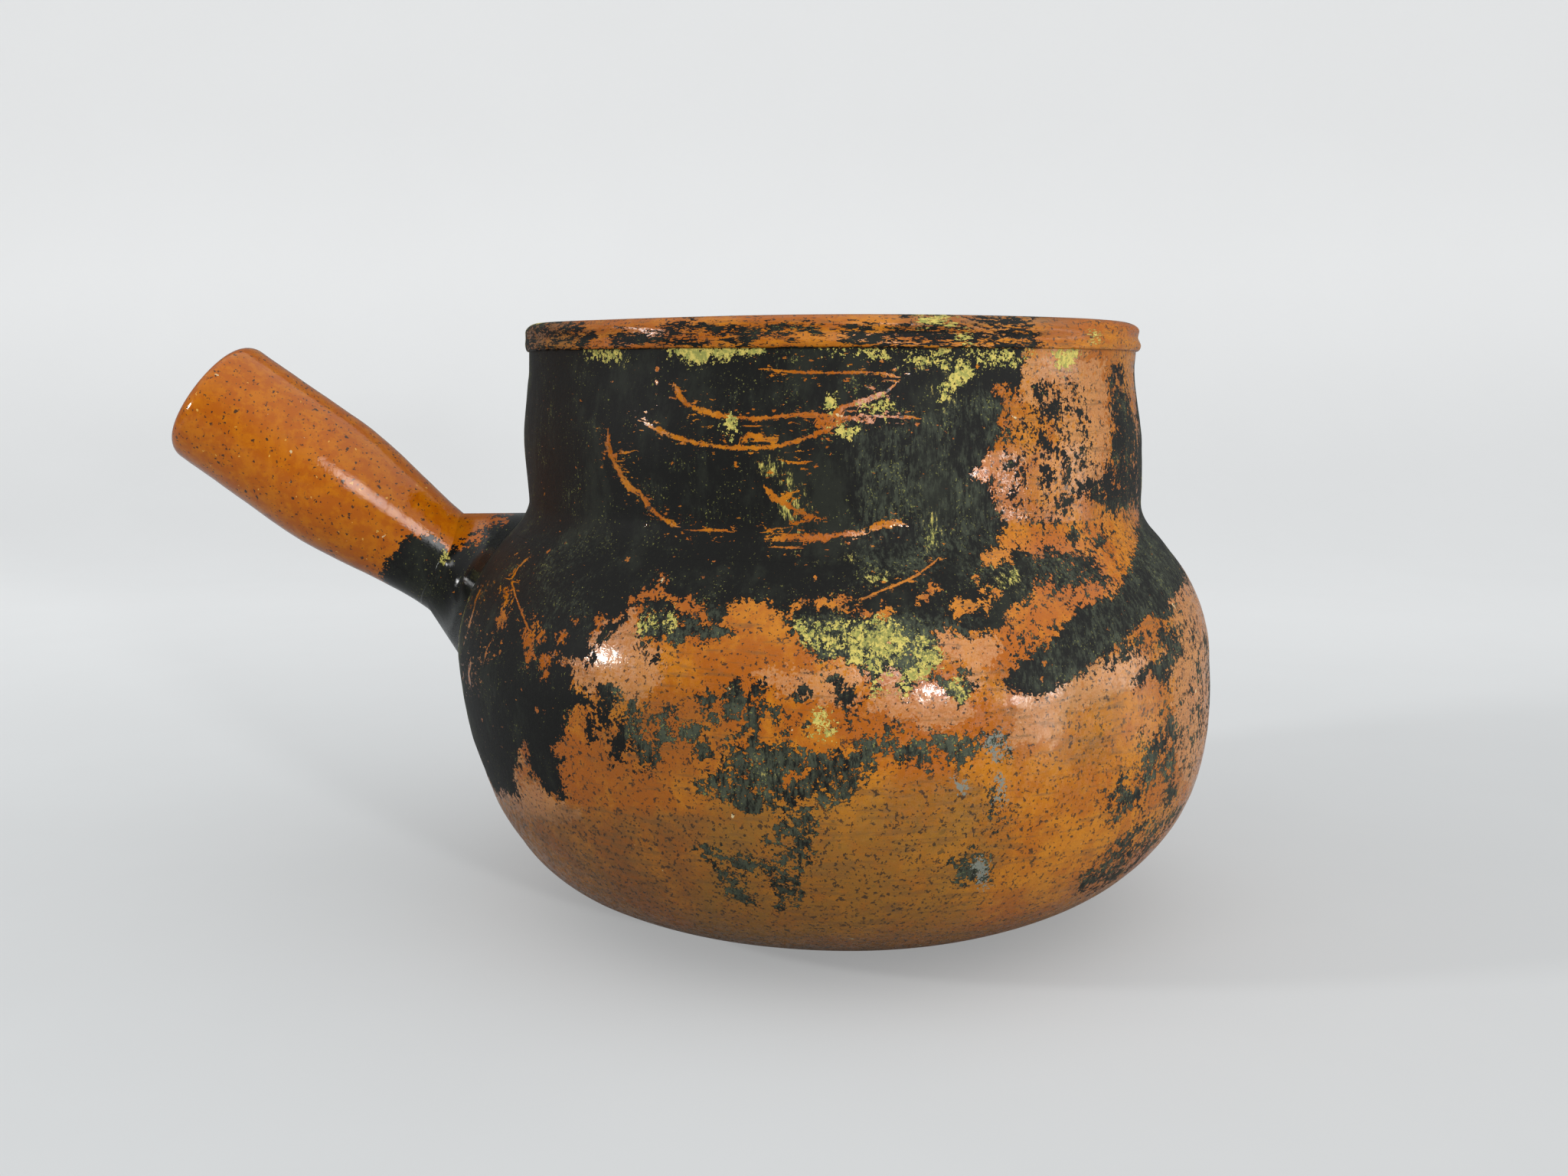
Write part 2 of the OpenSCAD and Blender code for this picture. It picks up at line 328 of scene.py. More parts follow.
# Remains of paint on the side that the photograph shows, and thin glaze, which round the highlights
# and on the collar is a painted reflection veil. Each has the layer that it changes, its name, how
# many millimetres deep its middle counts, how ragged it is, and its outlines, given in pixels of
# the photograph's frame.
PAINT = [
    ("coat", "specks on the right shoulder", -2.0, 0.5,
     [(1300, 640), (1500, 640), (1560, 760), (1500, 860), (1400, 880), (1330, 880), (1290, 800),
      (1330, 740)]),
    ("coat", "specks down the right side", -2.2, 0.5,
     [(1540, 780), (1560, 800), (1575, 900), (1570, 1000), (1540, 1060), (1480, 1110), (1440, 1060),
      (1490, 960), (1530, 900)]),
    ("coat", "specks in the orange window", -1.1, 0.5,
     [(1318, 520), (1400, 500), (1425, 560), (1430, 640), (1400, 680), (1350, 680), (1316, 620)]),
    ("coat", "black over the collar and the shoulder", 8, 0.16,
     [(640, 440), (1346, 450), (1338, 464), (1336, 476), (1334, 484), (1337, 492), (1331, 506),
      (1300, 503), (1303, 512), (1311, 518), (1314, 530), (1311, 541), (1303, 548), (1308, 560),
      (1306, 576), (1297, 585), (1288, 599), (1276, 616), (1268, 624), (1283, 627), (1293, 621),
      (1294, 634), (1297, 646), (1303, 662), (1309, 676), (1320, 685), (1312, 695), (1307, 703),
      (1311, 712), (1325, 716), (1341, 718), (1350, 728), (1360, 733), (1356, 754), (1352, 768),
      (1345, 785), (1322, 792), (1316, 800), (1312, 822), (1300, 826), (1280, 823), (1262, 831),
      (1250, 828), (1240, 820), (1218, 820), (1222, 845), (1226, 862), (1200, 875), (1180, 860),
      (1165, 868), (1150, 885), (1140, 872), (1120, 872), (1100, 862), (1078, 864), (1062, 850),
      (1052, 838), (1040, 826), (1030, 828), (1026, 812), (1042, 806), (1028, 800), (1010, 798),
      (1000, 785), (975, 784), (955, 788), (948, 796), (950, 804), (940, 808), (928, 805), (922, 795),
      (920, 788), (908, 788), (903, 778), (893, 780), (880, 778), (872, 772), (862, 776), (856, 770),
      (850, 762), (843, 768), (838, 774), (833, 778), (825, 777), (820, 784), (822, 792), (816, 798),
      (818, 808), (808, 815), (795, 828), (785, 840), (778, 842), (776, 832), (772, 830), (770, 845),
      (776, 855), (778, 866), (770, 868), (766, 856), (758, 860), (752, 862), (735, 860), (728, 860),
      (732, 868), (745, 872), (750, 880), (748, 895), (755, 903), (765, 908), (770, 915), (768, 920),
      (755, 922), (745, 930), (740, 945), (737, 960), (732, 968), (722, 978), (725, 985), (735, 990),
      (730, 1000), (733, 1010), (738, 1020), (735, 1030), (740, 1045), (732, 1048), (725, 1040),
      (712, 1032), (700, 1020), (695, 1008), (690, 995), (688, 985), (684, 972), (680, 975), (677, 990),
      (676, 1005), (673, 1012), (676, 1030), (682, 1042), (672, 1038), (665, 1040), (655, 1032),
      (650, 1045), (640, 1040), (628, 1020), (600, 980), (560, 900), (540, 800), (560, 700)]),
    ("bare", "flake on the left shoulder", 4, 0.1,
     [(656, 770), (664, 768), (665, 782), (660, 795), (663, 808), (652, 818), (648, 810), (655, 798),
      (658, 785)]),
    ("bare", "flake under it", 4, 0.1,
     [(686, 822), (697, 828), (695, 850), (694, 868), (688, 872), (689, 850), (685, 835)]),
    ("bare", "drops beside it", 4, 0.1,
     [(700, 808), (703, 818), (697, 824), (696, 812)],
     [(703, 828), (711, 826), (711, 836), (703, 838)],
     [(706, 858), (716, 851), (719, 862), (708, 874)],
     [(722, 852), (728, 850), (727, 860), (720, 864)],
     [(711, 877), (716, 872), (713, 890), (708, 892)],
     [(729, 830), (739, 828), (735, 836)],
     [(751, 806), (757, 806), (757, 818), (751, 816)]),
    ("bare", "hook over the left highlight", 4, 0.1,
     [(778, 805), (795, 808), (812, 802), (816, 808), (800, 814), (786, 816), (783, 828), (778, 824)]),
    ("bare", "spur over the islands", 4, 0.15,
     [(853, 776), (858, 762), (866, 748), (868, 752), (862, 766), (872, 772), (866, 780)]),
    ("bare", "spur over the left highlight", 4, 0.15,
     [(818, 808), (818, 790), (828, 780), (842, 772), (850, 776), (848, 784), (836, 788), (836, 800),
      (830, 812)]),
    ("coat", "streak in the spur", 4, 0.15,
     [(824, 788), (842, 786), (850, 782), (870, 783), (880, 790), (876, 797), (850, 797), (828, 793)]),
    ("coat", "island with yellow in it", 6, 0.2,
     [(836, 795), (850, 798), (870, 797), (885, 795), (900, 800), (905, 812), (915, 816), (940, 818),
      (955, 821), (956, 829), (945, 832), (930, 834), (915, 836), (900, 833), (895, 845), (888, 850),
      (880, 843), (872, 832), (858, 836), (845, 841), (838, 842), (836, 825), (832, 818)]),
    ("bare", "hole in it", 3, 0.2, [(878, 806), (890, 802), (897, 808), (888, 814), (880, 812)]),
    ("coat", "chip under it", 5, 0.2,
     [(842, 852), (856, 850), (865, 856), (861, 868), (852, 868), (845, 860)]),
    ("coat", "comma", 5, 0.15, [(764, 940), (770, 932), (777, 945), (779, 965), (772, 968), (764, 955)]),
    ("coat", "specks over the comma", 1.2, 0.8,
     [(768, 900), (800, 895), (812, 905), (805, 925), (800, 950), (788, 945), (775, 925)]),
    ("coat", "ragged island at the left", 2.2, 0.35,
     [(800, 940), (812, 930), (828, 945), (838, 950), (842, 960), (850, 975), (856, 983), (864, 992),
      (852, 992), (847, 1007), (838, 1005), (836, 985), (832, 972), (822, 970), (815, 992), (806, 990),
      (802, 998), (796, 990), (798, 970), (806, 955)]),
    ("coat", "grey ring over it", 1.6, 0.6,
     [(812, 930), (825, 918), (840, 925), (845, 940), (832, 942), (818, 938)]),
    ("coat", "ragged island in the middle", 2.2, 0.35,
     [(864, 950), (880, 952), (890, 944), (902, 945), (914, 948), (917, 960), (922, 970), (928, 986),
      (917, 988), (908, 975), (898, 966), (888, 968), (884, 976), (868, 976), (858, 968), (860, 956)]),
    ("coat", "spur over it", 3, 0.4,
     [(870, 922), (880, 926), (891, 935), (897, 946), (888, 948), (880, 940), (872, 930)]),
    ("coat", "chips right of it", 3, 0.4, [(858, 940), (866, 928), (870, 932), (864, 945)]),
    ("coat", "chips right of it", 2.5, 0.6,
     [(920, 930), (935, 924), (948, 932), (942, 950), (930, 955), (922, 942)]),
    ("coat", "chips right of it", 2.5, 0.5,
     [(940, 915), (950, 898), (962, 893), (972, 905), (978, 925), (966, 935), (950, 928)],
     [(980, 890), (995, 884), (1003, 895), (996, 906), (985, 902)],
     [(974, 935), (985, 922), (1000, 925), (992, 945), (978, 952)]),
    ("coat", "chips right of it", 2, 0.5,
     [(912, 912), (924, 904), (936, 912), (926, 924)],
     [(1000, 925), (1020, 930), (1035, 945), (1050, 945), (1040, 952), (1020, 948), (1004, 938)],
     [(1080, 880), (1090, 885), (1096, 900), (1115, 895), (1118, 905), (1100, 915), (1088, 905)],
     [(1040, 905), (1052, 898), (1056, 908), (1044, 912)]),
    ("coat", "chips right of it", 3, 0.3,
     [(1104, 936), (1116, 933), (1120, 942), (1110, 948), (1103, 944)],
     [(1158, 950), (1170, 948), (1175, 958), (1166, 968), (1156, 962)]),
    ("coat", "belt of remains", 1.5, 0.5,
     [(945, 968), (960, 965), (975, 972), (985, 962), (1000, 965), (1015, 975), (1030, 965),
      (1045, 975), (1060, 985), (1080, 985), (1090, 978), (1110, 985), (1120, 970), (1135, 962),
      (1165, 965), (1180, 975), (1195, 970), (1215, 965), (1250, 960), (1270, 958), (1290, 965),
      (1300, 958), (1320, 962), (1318, 985), (1305, 992), (1290, 985), (1275, 985), (1262, 1000),
      (1245, 998), (1230, 990), (1215, 1005), (1200, 1000), (1185, 985), (1170, 990), (1150, 985),
      (1140, 1000), (1125, 1010), (1130, 1025), (1115, 1030), (1110, 1045), (1090, 1048), (1080, 1060),
      (1060, 1050), (1045, 1040), (1035, 1050), (1020, 1045), (1000, 1058), (975, 1060), (960, 1055),
      (945, 1040), (925, 1040), (912, 1035), (905, 1025), (915, 1012), (935, 1010), (950, 1000),
      (945, 985)]),
    ("coat", "solid part of the belt", 3, 0.35,
     [(956, 985), (990, 978), (1030, 985), (1050, 990), (1070, 1000), (1080, 1015), (1060, 1030),
      (1040, 1015), (1020, 1030), (1000, 1035), (985, 1020), (965, 1010)]),
    ("bare", "flakes in the belt", 3, 0.4,
     [(1024, 1012), (1040, 1006), (1054, 1010), (1050, 1018), (1030, 1022)]),
    ("coat", "drip under the belt", 0.2, 0.6,
     [(1008, 1050), (1060, 1050), (1065, 1080), (1052, 1100), (1060, 1120), (1046, 1140), (1050, 1160),
      (1040, 1182), (1015, 1182), (1010, 1150), (1000, 1140), (1010, 1120), (1000, 1100),
      (1012, 1085)]),
    ("coat", "streaks beside the drip", 3, 0.5,
     [(912, 1102), (930, 1105), (945, 1112), (960, 1122), (975, 1118), (995, 1128), (985, 1142),
      (965, 1140), (955, 1130), (935, 1124), (918, 1118)]),
    ("coat", "streaks beside the drip", 1.5, 0.6,
     [(935, 1130), (960, 1140), (975, 1160), (985, 1178), (960, 1176), (945, 1160)]),
    ("coat", "chip at the lower right", 3, 0.5,
     [(1240, 1130), (1262, 1118), (1275, 1110), (1290, 1115), (1301, 1130), (1292, 1147), (1275, 1155),
      (1258, 1150), (1244, 1142)]),
    ("coat", "broken remains right of the belt", 0.3, 0.6,
     [(1290, 1035), (1310, 1045), (1318, 1070), (1312, 1090), (1300, 1085), (1292, 1060)]),
    ("coat", "loop with yellow in it", 5, 0.2,
     [(1245, 856), (1258, 862), (1268, 878), (1267, 900), (1262, 918), (1250, 920), (1236, 905),
      (1222, 892), (1215, 884), (1230, 882), (1245, 890), (1256, 888), (1252, 872)]),
    ("bare", "orange under the shoulder paint", 5, 0.15,
     [(1280, 721), (1300, 718), (1320, 714), (1323, 731), (1304, 736), (1284, 739)]),
    ("bare", "orange under the shoulder paint", 4, 0.2,
     [(1200, 790), (1206, 774), (1215, 766), (1226, 769), (1218, 775), (1208, 782)]),
    ("bare", "orange under the shoulder paint", 5, 0.2,
     [(1244, 803), (1245, 786), (1252, 778), (1262, 788), (1276, 785), (1279, 795), (1264, 800),
      (1252, 810)]),
    ("bare", "orange under the shoulder paint", 4, 0.2,
     [(1290, 772), (1299, 766), (1307, 778), (1298, 787), (1291, 779)],
     [(1285, 790), (1291, 786), (1294, 796), (1288, 800)],
     [(1272, 755), (1277, 752), (1286, 768), (1282, 772), (1275, 764)]),
    ("bare", "orange arcs at the shoulder", 4, 0.2,
     [(1058, 788), (1075, 780), (1092, 778), (1112, 780), (1118, 786), (1102, 787), (1110, 796),
      (1130, 798), (1136, 815), (1136, 838), (1130, 845), (1122, 832), (1118, 808), (1098, 800),
      (1085, 792), (1066, 794)],
     [(1026, 802), (1034, 790), (1050, 781), (1056, 788), (1042, 796), (1034, 806)],
     [(1148, 800), (1158, 795), (1162, 808), (1152, 812)]),
    ("coat", "dark patch under the orange window", 2.6, 0.4,
     [(1340, 722), (1362, 724), (1376, 722), (1408, 722), (1424, 728), (1438, 734), (1440, 750),
      (1432, 766), (1418, 762), (1402, 766), (1392, 776), (1380, 774), (1370, 762), (1352, 758),
      (1346, 740)]),
    ("coat", "chips in the orange window", 3, 0.3,
     [(1398, 700), (1404, 692), (1408, 702), (1402, 708)],
     [(1424, 706), (1434, 698), (1442, 696), (1446, 708), (1438, 718), (1428, 714)]),
    ("coat", "chips in the orange window", 3, 0.35,
     [(1350, 506), (1366, 504), (1368, 518), (1354, 520)]),
    ("coat", "chips in the orange window", 2.5, 0.45,
     [(1372, 525), (1384, 522), (1389, 545), (1386, 560), (1378, 563), (1372, 548), (1360, 550),
      (1350, 540), (1362, 530)]),
    ("coat", "chips in the orange window", 3, 0.3,
     [(1325, 546), (1340, 542), (1342, 552), (1330, 556)],
     [(1404, 533), (1414, 530), (1416, 540), (1406, 542)]),
    ("coat", "chips in the orange window", 2.2, 0.5,
     [(1362, 566), (1374, 574), (1386, 575), (1393, 592), (1386, 600), (1374, 594), (1362, 582)]),
    ("coat", "chips in the orange window", 2.5, 0.45,
     [(1390, 600), (1402, 604), (1401, 628), (1388, 632), (1393, 614)]),
    ("coat", "chips in the orange window", 2.2, 0.5,
     [(1356, 600), (1372, 606), (1383, 618), (1378, 640), (1362, 640), (1366, 620)]),
    ("coat", "band at the right of the collar", 2.2, 0.42,
     [(1453, 480), (1462, 476), (1468, 500), (1474, 530), (1488, 556), (1505, 600), (1505, 660),
      (1486, 666), (1470, 668), (1455, 676), (1440, 669), (1432, 656), (1420, 650), (1402, 655),
      (1392, 669), (1380, 666), (1388, 650), (1392, 637), (1404, 628), (1422, 622), (1440, 620),
      (1452, 604), (1450, 580), (1454, 556), (1452, 520)]),
    ("bare", "orange drip in it", 4, 0.2,
     [(1410, 650), (1416, 638), (1420, 650), (1412, 662), (1408, 664)]),
    ("coat", "dark right shoulder and band across", 5, 0.14,
     [(1600, 640), (1490, 668), (1482, 690), (1484, 710), (1476, 736), (1468, 758), (1456, 774),
      (1440, 778), (1424, 788), (1406, 796), (1396, 812), (1380, 828), (1366, 842), (1342, 856),
      (1326, 870), (1312, 886), (1318, 902), (1338, 908), (1358, 909), (1378, 902), (1396, 894),
      (1412, 880), (1424, 868), (1444, 856), (1462, 844), (1478, 828), (1492, 814), (1504, 806),
      (1520, 814), (1534, 802), (1530, 785), (1540, 770), (1550, 762), (1540, 720), (1600, 690)]),
    ("coat", "rags below the band", 0.6, 0.6,
     [(1440, 860), (1470, 840), (1500, 825), (1480, 860), (1450, 870)]),
    ("coat", "hanging patch at the right", 5, 0.3,
     [(1513, 818), (1535, 820), (1540, 840), (1550, 856), (1536, 862), (1530, 876), (1520, 893),
      (1508, 889), (1500, 878), (1488, 896), (1480, 894), (1485, 880), (1492, 868), (1506, 862),
      (1518, 850), (1514, 834)]),
    ("coat", "streaks at the right edge", -0.8, 0.45,
     [(1560, 820), (1582, 820), (1584, 960), (1568, 1000), (1556, 960), (1560, 900)]),
    ("coat", "mottled right side", 0.8, 0.5,
     [(1520, 925), (1532, 920), (1540, 950), (1537, 985), (1530, 1000), (1512, 1012), (1498, 1010),
      (1494, 985), (1505, 962), (1518, 950)]),
    ("coat", "mottled right side", 0.6, 0.5,
     [(1460, 1020), (1482, 1003), (1505, 1010), (1500, 1030), (1482, 1045), (1465, 1062), (1448, 1058),
      (1446, 1040)]),
    ("coat", "mottled right side", 2, 0.5,
     [(1524, 1018), (1536, 1010), (1537, 1035), (1526, 1046), (1519, 1035)]),
    ("coat", "mottled right side", 0.4, 0.5,
     [(1440, 1118), (1470, 1090), (1500, 1075), (1530, 1065), (1560, 1045), (1545, 1070), (1520, 1100),
      (1495, 1120), (1470, 1140), (1445, 1158), (1412, 1170), (1412, 1150), (1435, 1135)]),
    ("ochre", "ochre under the lip", 4, 0.1,
     [(873, 454), (985, 454), (1002, 458), (985, 463), (965, 463), (953, 464), (943, 470), (930, 466),
      (918, 474), (905, 475), (895, 466), (884, 463)]),
    ("ochre", "ochre drips under the lip", 3, 0.2,
     [(785, 455), (807, 455), (806, 470), (800, 468), (795, 474), (788, 468), (787, 460)]),
    ("ochre", "ochre drips under the lip", 2, 0.3, [(771, 457), (782, 457), (780, 465), (773, 464)]),
    ("ochre", "ochre speckles under the lip", -0.9, 0.4,
     [(1075, 454), (1346, 454), (1338, 464), (1322, 472), (1295, 476), (1260, 475), (1240, 478),
      (1215, 476), (1195, 467), (1160, 464), (1120, 462), (1085, 462)]),
    ("ochre", "ochre on the orange", 3, 0.25,
     [(1378, 456), (1410, 456), (1404, 470), (1396, 480), (1385, 481), (1377, 472)]),
    ("ochre", "ochre rags on the black", 3, 0.3,
     [(1243, 497), (1250, 486), (1266, 478), (1268, 485), (1258, 498), (1248, 501)],
     [(1227, 507), (1239, 501), (1241, 510), (1231, 517)]),
    ("ochre", "ochre dabs", 3, 0.2, [(945, 551), (960, 548), (958, 560), (951, 566), (946, 560)]),
    ("ochre", "ochre dabs", 3, 0.25, [(1093, 558), (1105, 562), (1120, 562), (1118, 570), (1100, 568)]),
    ("ochre", "ochre dabs", 2.5, 0.3,
     [(1142, 527), (1152, 523), (1160, 530), (1155, 536), (1146, 534)],
     [(1127, 526), (1134, 523), (1134, 533), (1128, 532)],
     [(1080, 524), (1086, 520), (1088, 530), (1082, 532)]),
    ("coat", "worn coat under the ochre field", 5, 0.15,
     [(1030, 800), (1062, 796), (1085, 798), (1120, 800), (1160, 810), (1185, 806), (1215, 818),
      (1226, 852), (1218, 866), (1200, 880), (1190, 902), (1180, 905), (1176, 880), (1160, 868),
      (1150, 885), (1144, 900), (1136, 884), (1128, 866), (1112, 866), (1108, 860), (1090, 860),
      (1080, 866), (1066, 862), (1056, 846), (1042, 830)]),
    ("coat", "islands under the ochre field", 3, 0.35,
     [(1076, 882), (1086, 874), (1098, 884), (1112, 900), (1120, 915), (1108, 925), (1094, 918),
      (1082, 900)]),
    ("ochre", "ochre field under the shoulder", -0.4, 0.45, *OCHRE_FIELD),
    ("ochre", "ochre in the loop", -0.3, 0.45, *OCHRE_LOOP),
    ("ochre", "ochre drops", 0.4, 0.4,
     [(1070, 930), (1082, 928), (1089, 945), (1081, 962), (1068, 956), (1064, 942)]),
    ("ochre", "ochre drops", 2.5, 0.3, [(1140, 895), (1153, 894), (1156, 902), (1144, 906)]),
    ("ochre", "ochre in the island", -0.3, 0.45, *OCHRE_ISLAND),
    ("grey", "blue-grey chips", 1, 0.1,
     [(1302, 1014), (1310, 1018), (1313, 1034), (1308, 1046), (1300, 1040)],
     [(1274, 1128), (1284, 1124), (1288, 1134), (1280, 1146), (1274, 1140)]),
    ("grey", "blue-grey chips", 0.4, 0.1, [(1250, 1020), (1258, 1022), (1262, 1032), (1254, 1034)]),
    ("grey", "blue-grey chips", 0.5, 0.1, [(1280, 1152), (1290, 1150), (1284, 1160)]),
    ("grey", "blue-grey chips", -0.3, 0.1,
     [(1290, 962), (1312, 958), (1316, 978), (1304, 992), (1292, 984)]),
    # pale: salmon thin glaze; round the highlights, between them and on the collar it is a painted reflection
    # veil
    ("pale", "thin glaze round the left highlight", 6, 0.2,
     [(731, 860), (777, 827), (800, 812), (827, 797), (835, 818), (843, 839), (862, 856), (858, 893),
      (827, 912), (785, 900), (768, 912), (747, 885)]),
    ("pale", "thin glaze at the lower left", 6, 0.2,
     [(681, 968), (677, 1006), (690, 1030), (706, 1024), (730, 1046), (760, 1060), (740, 1075),
      (680, 1070), (650, 1040), (660, 1030), (670, 1000)]),
    ("pale", "thin glaze under the shoulder", 6, 0.15,
     [(1220, 820), (1253, 827), (1277, 833), (1300, 837), (1310, 850), (1290, 873), (1278, 900),
      (1264, 893), (1262, 870), (1247, 857), (1233, 863), (1223, 843)]),
    ("pale", "thin glaze round the middle highlight", 6, 0.2,
     [(1173, 863), (1200, 857), (1200, 873), (1180, 887), (1193, 907), (1233, 913), (1263, 920),
      (1275, 930), (1260, 945), (1213, 950), (1180, 940), (1140, 930), (1147, 900), (1167, 883)]),
    ("pale", "thin glaze left of the ochre field", 1.5, 0.4,
     [(1043, 880), (1100, 866), (1130, 880), (1110, 920), (1067, 915), (1020, 905), (980, 880),
      (1000, 870)]),
    ("pale", "thin glaze down the right side", 4, 0.4,
     [(1500, 740), (1545, 740), (1600, 800), (1600, 1040), (1556, 1040), (1530, 960), (1536, 900),
      (1516, 860), (1540, 830)]),
    ("pale", "thin glaze between the highlights", 2, 0.35,
     [(1330, 905), (1400, 880), (1470, 845), (1500, 860), (1480, 900), (1400, 930), (1370, 970),
      (1320, 975)]),
    ("pale", "thin glaze on the collar", 1.5, 0.5,
     [(1330, 470), (1440, 470), (1452, 560), (1440, 640), (1400, 640), (1380, 540), (1330, 520)]),
]

# Scratches through the paint: name, width and lines, in pixels of the photograph
SCRATCHES = [
    ("upper line", 2.5, [(1000, 482), (1016, 484), (1040, 486), (1080, 487), (1140, 486)]),
    ("upper line, end", 3, [(1150, 487), (1160, 489), (1167, 491)]),
    ("second arc", 4.5,
     [(884, 508), (888, 518), (896, 526), (906, 532), (920, 537), (938, 542), (958, 545), (985, 547),
      (1010, 545), (1030, 543), (1050, 541), (1075, 543), (1115, 546), (1135, 549)]),
    ("second arc, tail", 2.5, [(1120, 543), (1140, 543), (1168, 545), (1194, 545)]),
    ("cross stroke", 5, [(1072, 551), (1090, 543), (1102, 532), (1120, 526), (1136, 520), (1155, 514)]),
    ("cross stroke, end", 2.5, [(1160, 510), (1167, 503)]),
    ("third arc", 4.5,
     [(843, 553), (856, 560), (872, 567), (890, 574), (912, 579), (935, 583), (960, 585), (990, 585),
      (1018, 582), (1040, 576), (1062, 568), (1080, 561), (1096, 552)]),
    ("dash over the third arc", 5.5, [(968, 573), (980, 568), (994, 572), (1010, 573)]),
    ("fall at the left", 4.5,
     [(794, 568), (793, 580), (797, 590), (801, 602), (808, 615), (815, 628), (824, 638), (835, 644),
      (843, 653), (848, 664), (858, 671), (868, 679), (880, 685)]),
    ("branch of the fall", 2.5, [(800, 594), (812, 592), (824, 590)]),
    ("low line at the left", 2, [(902, 693), (925, 692), (950, 693)]),
    ("zigzag down", 4.5, [(1003, 641), (1012, 651), (1024, 658), (1040, 666), (1052, 672), (1063, 676)]),
    ("zigzag back", 4.5, [(1062, 677), (1050, 681), (1040, 683)]),
    ("zigzag tick", 4.5, [(1022, 653), (1034, 644)]),
    ("low streak", 7.5, [(1012, 704), (1040, 702), (1066, 701), (1080, 701)]),
    ("tail of the low streak", 4.5, [(1080, 700), (1100, 698), (1125, 696)]),
    ("low streak at the right", 6, [(1140, 689), (1152, 685), (1164, 683), (1175, 683)]),
    ("low dashes", 2.5,
     [(1002, 694), (1014, 690), (1024, 690)],
     [(1012, 714), (1026, 715), (1040, 715)],
     [(1030, 604), (1042, 605), (1052, 604)]),
    ("long scratch", 2, [(1130, 781), (1150, 772), (1176, 762), (1198, 751), (1222, 733)]),
    ("hair at the left shoulder", 2, [(668, 758), (672, 775), (680, 797), (690, 822)]),
    ("hair at the left shoulder", 1.5, [(669, 755), (676, 742), (688, 730)]),
    ("hairs at the left edge", 1.5,
     [(641, 838), (636, 848), (633, 860)],
     [(614, 866), (612, 880), (614, 893)],
     [(628, 770), (622, 782), (618, 800), (612, 820)]),
]

# Streaks of worn dark paint on the lip
LIP_PAINT = [
    ("coat", "worn left end", 0.0, 0.75, [(680, 420), (760, 420), (790, 455), (690, 460)]),
    ("coat", "streaks", 2, 0.5, [(750, 440), (772, 442), (775, 456), (748, 456)]),
    ("coat", "streaks", 2.5, 0.4,
     [(796, 440), (815, 436), (856, 436), (900, 442), (924, 444), (922, 451), (880, 452), (850, 449),
      (812, 452), (798, 449)]),
    ("coat", "streaks", 1.5, 0.6,
     [(862, 426), (925, 424), (960, 428), (955, 435), (900, 436), (868, 434)]),
    ("coat", "streaks", 1.5, 0.5,
     [(944, 442), (962, 440), (964, 428), (992, 430), (990, 449), (946, 449)]),
    ("coat", "streaks", 1.0, 0.6, [(1000, 425), (1072, 425), (1072, 438), (1040, 440), (1002, 434)]),
    ("coat", "streaks", 1.5, 0.5, [(1096, 424), (1134, 426), (1134, 448), (1098, 447), (1110, 436)]),
    ("coat", "dark band at the right", 1.0, 0.4,
     [(1128, 434), (1240, 431), (1330, 431), (1357, 438), (1358, 456), (1290, 455), (1128, 450)]),
    ("coat", "worn top at the right", 0.2, 0.6, [(1180, 412), (1350, 412), (1345, 426), (1180, 426)]),
    ("ochre", "ochre grains", 0.6, 0.5, [(1200, 408), (1250, 408), (1240, 422), (1205, 420)]),
    ("ochre", "ochre grains", 2, 0.3,
     [(1256, 438), (1266, 441), (1263, 448), (1256, 444)],
     [(1428, 436), (1437, 438), (1434, 443), (1428, 441)]),
]

# Black at the root of the handle, with a smear of ochre
HANDLE_PAINT = [
    ("coat", "black at the root", 8, 0.2,
     [(531, 702), (545, 700), (560, 703), (573, 707), (582, 716), (592, 723), (604, 722), (617, 724),
      (631, 718), (640, 710), (646, 700), (650, 690), (655, 683), (668, 675), (700, 640), (780, 700),
      (720, 1000), (560, 900), (540, 800), (505, 768), (497, 752), (502, 738), (511, 728), (520, 722),
      (521, 709)]),
    ("ochre", "ochre smear at the root", 2, 0.3,
     [(578, 722), (590, 726), (598, 740), (606, 752), (602, 764), (590, 762), (581, 744)]),
]
